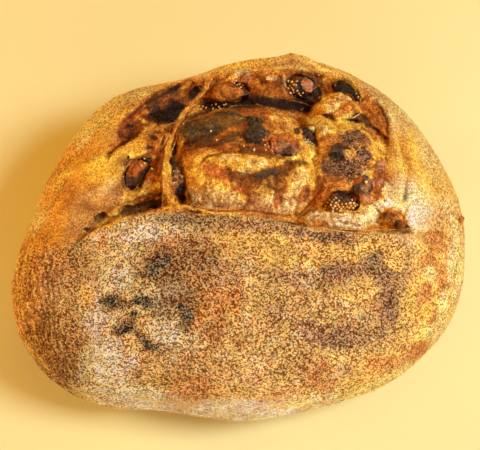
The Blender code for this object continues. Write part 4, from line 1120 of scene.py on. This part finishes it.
def make_figs():
    """Each fig's own mesh, finer, creased and torn, in the colours of its place."""
    figs = []
    for node in fig_nodes():
        fig = new_object(node + "_piece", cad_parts[node].data.copy())
        modify(fig, "WELD", merge_threshold=WELD)
        modify(fig, "SUBSURF", levels=3, render_levels=3)
        apply_modifiers(fig)
        s = Surface(fig.data)
        crease = creases(s.points, *NOISES["fig_crease"], FIG_CREASE_WIDTH)
        height = FIG_SWELL + FIG_RELIEF * s.noise("fig_lump") - FIG_CREASE * crease
        height += FIG_GRIT * s.noise("fig_grit")
        if node in FIG_OUTLINES:
            height -= FIG_HIDDEN * (1 - s.area(FIG_OUTLINES[node], 4.0))
        set_points(fig.data, s.points + s.normals * height[:, None] * MM)
        finish = np.tile(finish_of("umber" if node in SKIN_FIGS else "sienna"), (len(s.points), 1))
        brush(s, finish, FIG_PAINT, 1.0)
        # Darker along the creases, painted shade, and mottled in the fig's own colours
        finish[:, :3] *= np.exp((0.5 * s.noise("fig_mottle") - 0.5 * crease)[:, None] * FIG_SHADE_TINT)
        set_finish(fig.data, finish)
        fig.data.shade_smooth()
        figs.append((fig, node))
    return figs


def joined(name, shells):
    """One mesh from lists of points, faces and a finish for each shell."""
    points = []
    faces = []
    finishes = []
    for shell_points, shell_faces, finish in shells:
        start = sum(len(p) for p in points)
        points.append(np.asarray(shell_points))
        faces.extend([[start + i for i in face] for face in shell_faces])
        finishes.append(np.broadcast_to(finish, (len(shell_points), len(finish))))
    mesh = bpy.data.meshes.new(name)
    mesh.from_pydata(np.vstack(points).tolist(), [], faces)
    mesh.update()
    set_finish(mesh, np.vstack(finishes))
    mesh.shade_smooth()
    return new_object(name, mesh)


def globe(subdivisions):
    """Points and faces of a unit ball."""
    ball = bmesh.new()
    bmesh.ops.create_icosphere(ball, subdivisions=subdivisions, radius=1)
    points = np.array([v.co for v in ball.verts])
    faces = [[v.index for v in face.verts] for face in ball.faces]
    ball.free()
    return points, faces


def make_seeds(tree, dice):
    """Golden seeds lying on the figs, a little sunk."""
    ball, faces = globe(2)
    shells = []
    for x, y in SEEDS:
        place, normal = strike(tree, x, y)
        length = SEED_LENGTH + dice.uniform(-1, 1) * SEED_SPREAD
        turn = Matrix.Rotation(dice.uniform(0, 2 * math.pi), 3, "Z")
        tilt = np.array(normal.to_track_quat("Z", "Y").to_matrix() @ turn)
        egg = ball * np.array(SEED_SHAPE) * length * (1 + 0.12 * ball[:, :1])
        points = egg @ tilt.T + np.array(place) + np.array(normal) * length * 0.10
        colour = finish_of(SEED_COLOURS[dice.integers(len(SEED_COLOURS))])
        colour[3:] = (0, 0.1, 0.8)
        colour[1:3] *= dice.uniform(0.85, 1.1), dice.uniform(0.7, 1.2)
        shells.append((points, faces, colour))
    return joined("fig_seeds", shells)


def make_threads(tree, dice):
    """Threads of dough that run over the torn surface."""
    shells = []
    sides = THREAD_SIDES
    for name, radius, lift, *pixels in THREADS:
        path = []
        for x, y in smooth_line(pixels, 5):
            place, normal = strike(tree, x, y)
            path.append(np.array(place + (normal - sight(x, y)).normalized() * lift * MM))
        path = np.array(path)
        path[1:-1] = (path[:-2] + 2 * path[1:-1] + path[2:]) / 4
        shares = np.linspace(0, 1, len(path))
        taper = 0.35 + 0.65 * np.sin(np.pi * shares)
        radii = radius * MM * taper * (1 + 0.25 * dice.uniform(-1, 1, len(path)))
        points = []
        for i, (centre, wide) in enumerate(zip(path, radii)):
            ahead = Vector(path[min(i + 1, len(path) - 1)] - path[max(i - 1, 0)]).normalized()
            side = ahead.orthogonal() if i == 0 else side - ahead * side.dot(ahead)
            side.normalize()
            other = ahead.cross(side)
            for turn in np.linspace(0, 2 * math.pi, sides, endpoint=False):
                points.append(centre + np.array(side * math.cos(turn) + other * math.sin(turn)) * wide)
        faces = [list(range(sides))[::-1], list(range(len(points) - sides, len(points)))]
        for ring in range(len(path) - 1):
            for k in range(sides):
                a = ring * sides + k
                b = ring * sides + (k + 1) % sides
                faces.append([a, b, b + sides, a + sides])
        shells.append((points, faces, finish_of(name)))
    return joined("dough_threads", shells)


def make_crumbs(tree):
    """The dry flake at the right edge and small torn crumbs round the figs."""
    ball, faces = globe(2)
    place, _ = strike(tree, *FLAKE)
    lump = ball * (1 + 0.5 * noise_at(ball, 0.5, 2, 95))[:, None]
    shells = [(lump * FLAKE_SIZE + np.array(place) + FLAKE_SHIFT, faces, finish_of("orange"))]
    for x, y, size, name in CRUMBS:
        place, normal = strike(tree, x, y)
        lump = ball * (1 + 0.45 * noise_at(ball, 0.6, 2, x))[:, None]
        turn = np.array(normal.to_track_quat("Z", "Y").to_matrix())
        points = (lump * (size, size * 0.8, size * 0.6) * MM) @ turn.T + np.array(place)
        shells.append((points, faces, finish_of(name)))
    return joined("crumbs", shells)


def make_flour(body, dice):
    """Grains of rice flour caught on the front crust and in the folds."""
    s = Surface(body.data)
    r = regions(s)
    weight = r["front"] * s.seen * (1 - 0.7 * between(s.x, *FLOUR_FADES))
    weight *= 0.35 + np.clip(s.noise("dusting"), 0, 1) * 1.5
    weight *= 1 - 0.8 * r["ridged"]
    shown = np.empty(len(weight) * 4)
    body.data.attributes["paint"].data.foreach_get("color", shown)
    weight *= between(shown.reshape(-1, 4)[:, :3].mean(axis=1), *FLOUR_ON_PALE)
    weight += 0.10 * (1 - r["front"]) * (1 - r["score"])
    weight *= between(s.points[:, 2], *FLOUR_HEIGHTS)
    chosen = dice.choice(len(weight), FLOUR_GRAINS, p=weight / weight.sum())
    places = s.points[chosen] + dice.normal(0, FLOUR_SCATTER, (FLOUR_GRAINS, 3))
    corners = np.array(((1, 0, 0), (0, 1, 0), (-1, 0, 0), (0, -1, 0), (0, 0, 1), (0, 0, -1)), float)
    faces = np.array(((0, 1, 4), (1, 2, 4), (2, 3, 4), (3, 0, 4), (1, 0, 5), (2, 1, 5), (3, 2, 5), (0, 3, 5)))
    sizes = dice.uniform(*FLOUR_GRAIN_SIZE, (FLOUR_GRAINS, 1, 1))
    sizes = sizes * dice.uniform(*FLOUR_STRETCH, (FLOUR_GRAINS, 1, 3))
    turns = np.linalg.qr(dice.normal(size=(FLOUR_GRAINS, 3, 3)))[0]
    points = (corners * sizes) @ turns + places[:, None, :]
    mesh = bpy.data.meshes.new("flour_grains")
    starts = np.arange(FLOUR_GRAINS)[:, None, None] * len(corners)
    mesh.from_pydata(points.reshape(-1, 3).tolist(), [], (faces + starts).reshape(-1, 3).tolist())
    mesh.update()
    tones = np.array([finish_of(name) for name in FLOUR_COLOURS])
    finish = tones[dice.choice(len(tones), FLOUR_GRAINS, p=tuple(FLOUR_COLOURS.values()))]
    set_finish(mesh, np.repeat(finish, len(corners), axis=0))
    return new_object("flour_grains", mesh)


class Nodes:
    """Short names for building a material's nodes."""

    def __init__(self, name):
        self.material = bpy.data.materials.new(name)
        self.material.use_nodes = True
        self.tree = self.material.node_tree
        self.shader = self.tree.nodes["Principled BSDF"]
        self.place = self.add("ShaderNodeTexCoord").outputs["Object"]

    def add(self, kind, **settings):
        node = self.tree.nodes.new(kind)
        for key, value in settings.items():
            setattr(node, key, value)
        return node

    def link(self, source, target):
        """Sets an input from another node's output, or to a plain value."""
        if isinstance(source, bpy.types.NodeSocket):
            self.tree.links.new(source, target)
        else:
            target.default_value = source

    def attribute(self, name, output="Fac"):
        return self.add("ShaderNodeAttribute", attribute_name=name).outputs[output]

    def noise(self, size, detail=2.0, roughness=0.5, distortion=0.0):
        node = self.add("ShaderNodeTexNoise")
        self.link(self.place, node.inputs["Vector"])
        node.inputs["Scale"].default_value = 1 / size
        node.inputs["Detail"].default_value = detail
        node.inputs["Roughness"].default_value = roughness
        node.inputs["Distortion"].default_value = distortion
        return node.outputs["Fac"]

    def cells(self, size):
        """A number of its own for each small cell."""
        node = self.add("ShaderNodeTexVoronoi")
        self.link(self.place, node.inputs["Vector"])
        node.inputs["Scale"].default_value = 1 / size
        apart = self.add("ShaderNodeSeparateColor")
        self.link(node.outputs["Color"], apart.inputs[0])
        return apart.outputs[0]

    def math(self, operation, *values):
        node = self.add("ShaderNodeMath", operation=operation)
        for value, socket in zip(values, node.inputs):
            self.link(value, socket)
        return node.outputs[0]

    def weigh(self, *parts):
        """A sum of values, each with its weight."""
        total = None
        for value, weight in parts:
            part = self.math("MULTIPLY", value, weight)
            total = part if total is None else self.math("ADD", total, part)
        return total

    def span(self, value, low, high, new_low=0.0, new_high=1.0):
        node = self.add("ShaderNodeMapRange", interpolation_type="SMOOTHSTEP")
        for given, socket in zip((value, low, high, new_low, new_high), node.inputs):
            self.link(given, socket)
        return node.outputs[0]

    def tinted(self, colour, tint):
        """A colour times another."""
        return self.mix(1.0, colour, tint, "MULTIPLY")

    def mix(self, share, first, second, blend="MIX"):
        node = self.add("ShaderNodeMix", data_type="RGBA", blend_type=blend)
        self.link(share, node.inputs["Factor"])
        for value, socket in ((first, node.inputs[6]), (second, node.inputs[7])):
            self.link((*value, 1) if isinstance(value, (tuple, np.ndarray)) else value, socket)
        return node.outputs[2]

    def bump(self, height, depth, below=None):
        node = self.add("ShaderNodeBump")
        node.inputs["Strength"].default_value = 1.0
        self.link(depth, node.inputs["Distance"])
        self.link(height, node.inputs["Height"])
        if below is not None:
            self.link(below, node.inputs["Normal"])
        return node.outputs["Normal"]

    def finish(self, colour, roughness, normal):
        self.link(colour, self.shader.inputs["Base Color"])
        self.link(roughness, self.shader.inputs["Roughness"])
        self.link(normal, self.shader.inputs["Normal"])
        return self.material


def crust_material():
    """Painted dough and crust, broken up by pale grains of rice flour on a darker ground, with painted shade
    in the gaps between the grains and painted highlights on their tops, both following the grains' bump.
    """
    n = Nodes("crust")
    paint = n.attribute("paint", "Color")
    grain = n.attribute("grain")
    flour = n.attribute("flour")
    fine = n.noise(GRAIN_SIZE, 1.0, 0.5, 0.3)
    clump = n.noise(CLUMP_SIZE, 2.0, 0.6, 0.3)
    hue = n.noise(HUE_SIZE, 2.0, 0.6)
    cell = n.cells(CELL_SIZE)
    # The grains' height gives their bump and their colour alike: low is the darker ground, partly its own
    # colour and partly painted shade in the gaps, high the pale grains, partly rice flour and partly painted
    # light
    height = n.weigh((fine, 0.34), (cell, 0.52), (clump, 0.14))
    raised = n.span(height, 0.36, 0.63)
    cooler = n.tinted(paint, (0.90, 1.00, 1.15))
    warmer = n.tinted(paint, (1.10, 0.92, 0.60))
    ground = n.mix(n.span(hue, 0.38, 0.62), cooler, warmer)
    dark = n.tinted(ground, (0.33, 0.16, 0.03))
    light = n.tinted(ground, (1.60, 1.78, 2.10))
    light = n.mix(n.math("MULTIPLY", flour, 0.30), light, tuple(linear(*FLOUR_TONE) / TINT))
    # Painted highlights on the highest grains
    grain_highlights = n.span(height, 0.55, 0.67, 0.0, 0.34)
    speckled = n.mix(grain_highlights, n.mix(raised, dark, light), tuple(linear(*GRAIN_HIGHLIGHT_TONE) / TINT))
    # Where there is little grain: darker along small folds, painted shade; lighter between them, partly
    # painted highlight and partly the dough's own streaks; and darker in the low pits of the grains' bump,
    # painted shade. The folds are in the colour only, not in the bump.
    fold = n.noise(FOLD_SIZE, 2.0, 0.6, 1.2)
    fine_fold = n.noise(FINE_FOLD_SIZE, 1.0, 0.5, 0.6)
    wrinkle = n.weigh((fold, 0.55), (fine_fold, 0.45))
    fold_shade = n.tinted(paint, (0.60, 0.36, 0.18))
    stretched = n.tinted(paint, (1.34, 1.52, 1.90))
    pit_shade = n.tinted(paint, (0.34, 0.17, 0.05))
    shaded_folds = n.mix(n.span(wrinkle, 0.38, 0.60), fold_shade, stretched)
    shaded_folds = n.mix(n.span(fine, 0.26, 0.42, 0.16, 0.0), shaded_folds, pit_shade)
    colour = n.mix(grain, shaded_folds, speckled)
    ripple = n.bump(n.noise(RIPPLE_SIZE, 3.0, 0.65, 0.8), RIPPLE_DEPTH)
    normal = n.bump(height, n.span(grain, 0.1, 0.9, *GRAIN_DEPTHS), ripple)
    n.shader.inputs["Specular IOR Level"].default_value = 0.25
    gloss = n.attribute("gloss")
    return n.finish(colour, n.span(gloss, 0.0, 1.0, 0.82, 0.30), normal)


def fig_material():
    """Sticky baked fig: creased, part glossy and part dry."""
    n = Nodes("fig")
    paint = n.attribute("paint", "Color")
    wrinkle = n.noise(FIG_WRINKLE_SIZE, 4.0, 0.7, 1.2)
    # Darker in the hollows of the wrinkles and lighter on their ridges, the same wrinkles as the bump:
    # painted shade and painted light
    colour = n.tinted(paint, n.span(wrinkle, 0.3, 0.7, 0.45, 1.75))
    normal = n.bump(wrinkle, FIG_WRINKLE_DEPTH)
    roughness = n.span(n.noise(FIG_STICKY_SIZE, 2.0, 0.6), 0.4, 0.65, 0.22, 0.60)
    return n.finish(colour, roughness, normal)


def grain_material(name, roughness):
    """Small seeds and grains, each in its own colour with a slightly uneven skin."""
    n = Nodes(name)
    mottle = n.span(n.noise(0.0006, 2.0), 0.3, 0.7, 0.75, 1.2)
    colour = n.tinted(n.attribute("paint", "Color"), mottle)
    return n.finish(colour, roughness, n.bump(n.noise(0.0005, 2.0), 0.0002))


def floor_material():
    """Smooth pale paper."""
    n = Nodes("floor")
    paper = tuple(linear(*PAPER) / TINT)
    colour = n.mix(n.span(n.noise(0.4, 2.0), 0.3, 0.7, 0.0, 0.04), paper, tuple(linear(*PALETTE["gold"][:3])))
    return n.finish(colour, 0.9, n.bump(n.noise(0.002, 2.0), 0.00002))


def make_stage():
    """Floor, light and camera."""
    bpy.ops.mesh.primitive_plane_add(size=FLOOR_SIZE)
    floor = bpy.context.object
    floor.name = "floor"
    floor.data.materials.append(floor_material())
    world = bpy.data.worlds.new("world")
    world.use_nodes = True
    background = world.node_tree.nodes["Background"]
    background.inputs["Color"].default_value = (*SURROUNDINGS, 1)
    background.inputs["Strength"].default_value = SURROUNDINGS_STRENGTH
    bpy.context.scene.world = world
    for name, place, size, power, colour in LIGHTS:
        light = bpy.data.lights.new(name, "AREA")
        light.energy = power
        light.size = size
        light.color = colour
        lamp = new_object(name, light)
        lamp.location = place
        lamp.rotation_euler = (Vector(TARGET) - Vector(place)).to_track_quat("-Z", "Y").to_euler()
    camera = new_object("camera", bpy.data.cameras.new("camera"))
    camera.location = EYE
    camera.rotation_euler = (math.pi / 2 - ELEVATION, 0, 0)
    camera.data.sensor_width = SENSOR
    camera.data.lens = FOCAL * SENSOR / PHOTO_SIZE[0]
    bpy.context.scene.camera = camera
    bpy.context.scene.view_settings.view_transform = "Standard"


def place_piece(piece, material, slot, *nodes):
    """Gives a piece its material and its place in the frame."""
    piece.data.materials.clear()
    piece.data.materials.append(material)
    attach(piece, "root")
    if nodes:
        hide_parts(*nodes)


def main():
    dice = np.random.default_rng(SEED)
    crust = crust_material()
    fig = fig_material()
    body = make_body()
    thin_strand(body)
    shape_body(body)
    paint_body(body)
    body.data.shade_smooth()
    place_piece(body, crust, "crust", "loaf")
    figs = make_figs()
    for piece, node in figs:
        place_piece(piece, fig, "fig_skin" if node in SKIN_FIGS else "fig_flesh", node)
    tree = surface_tree([body] + [piece for piece, _ in figs])
    place_piece(make_seeds(tree, dice), grain_material("seed", 0.3), "fig_flesh")
    place_piece(make_threads(tree, dice), crust, "crust")
    place_piece(make_crumbs(tree), crust, "crust")
    place_piece(make_flour(body, dice), grain_material("flour", 0.9), "crust")
    make_stage()


main()
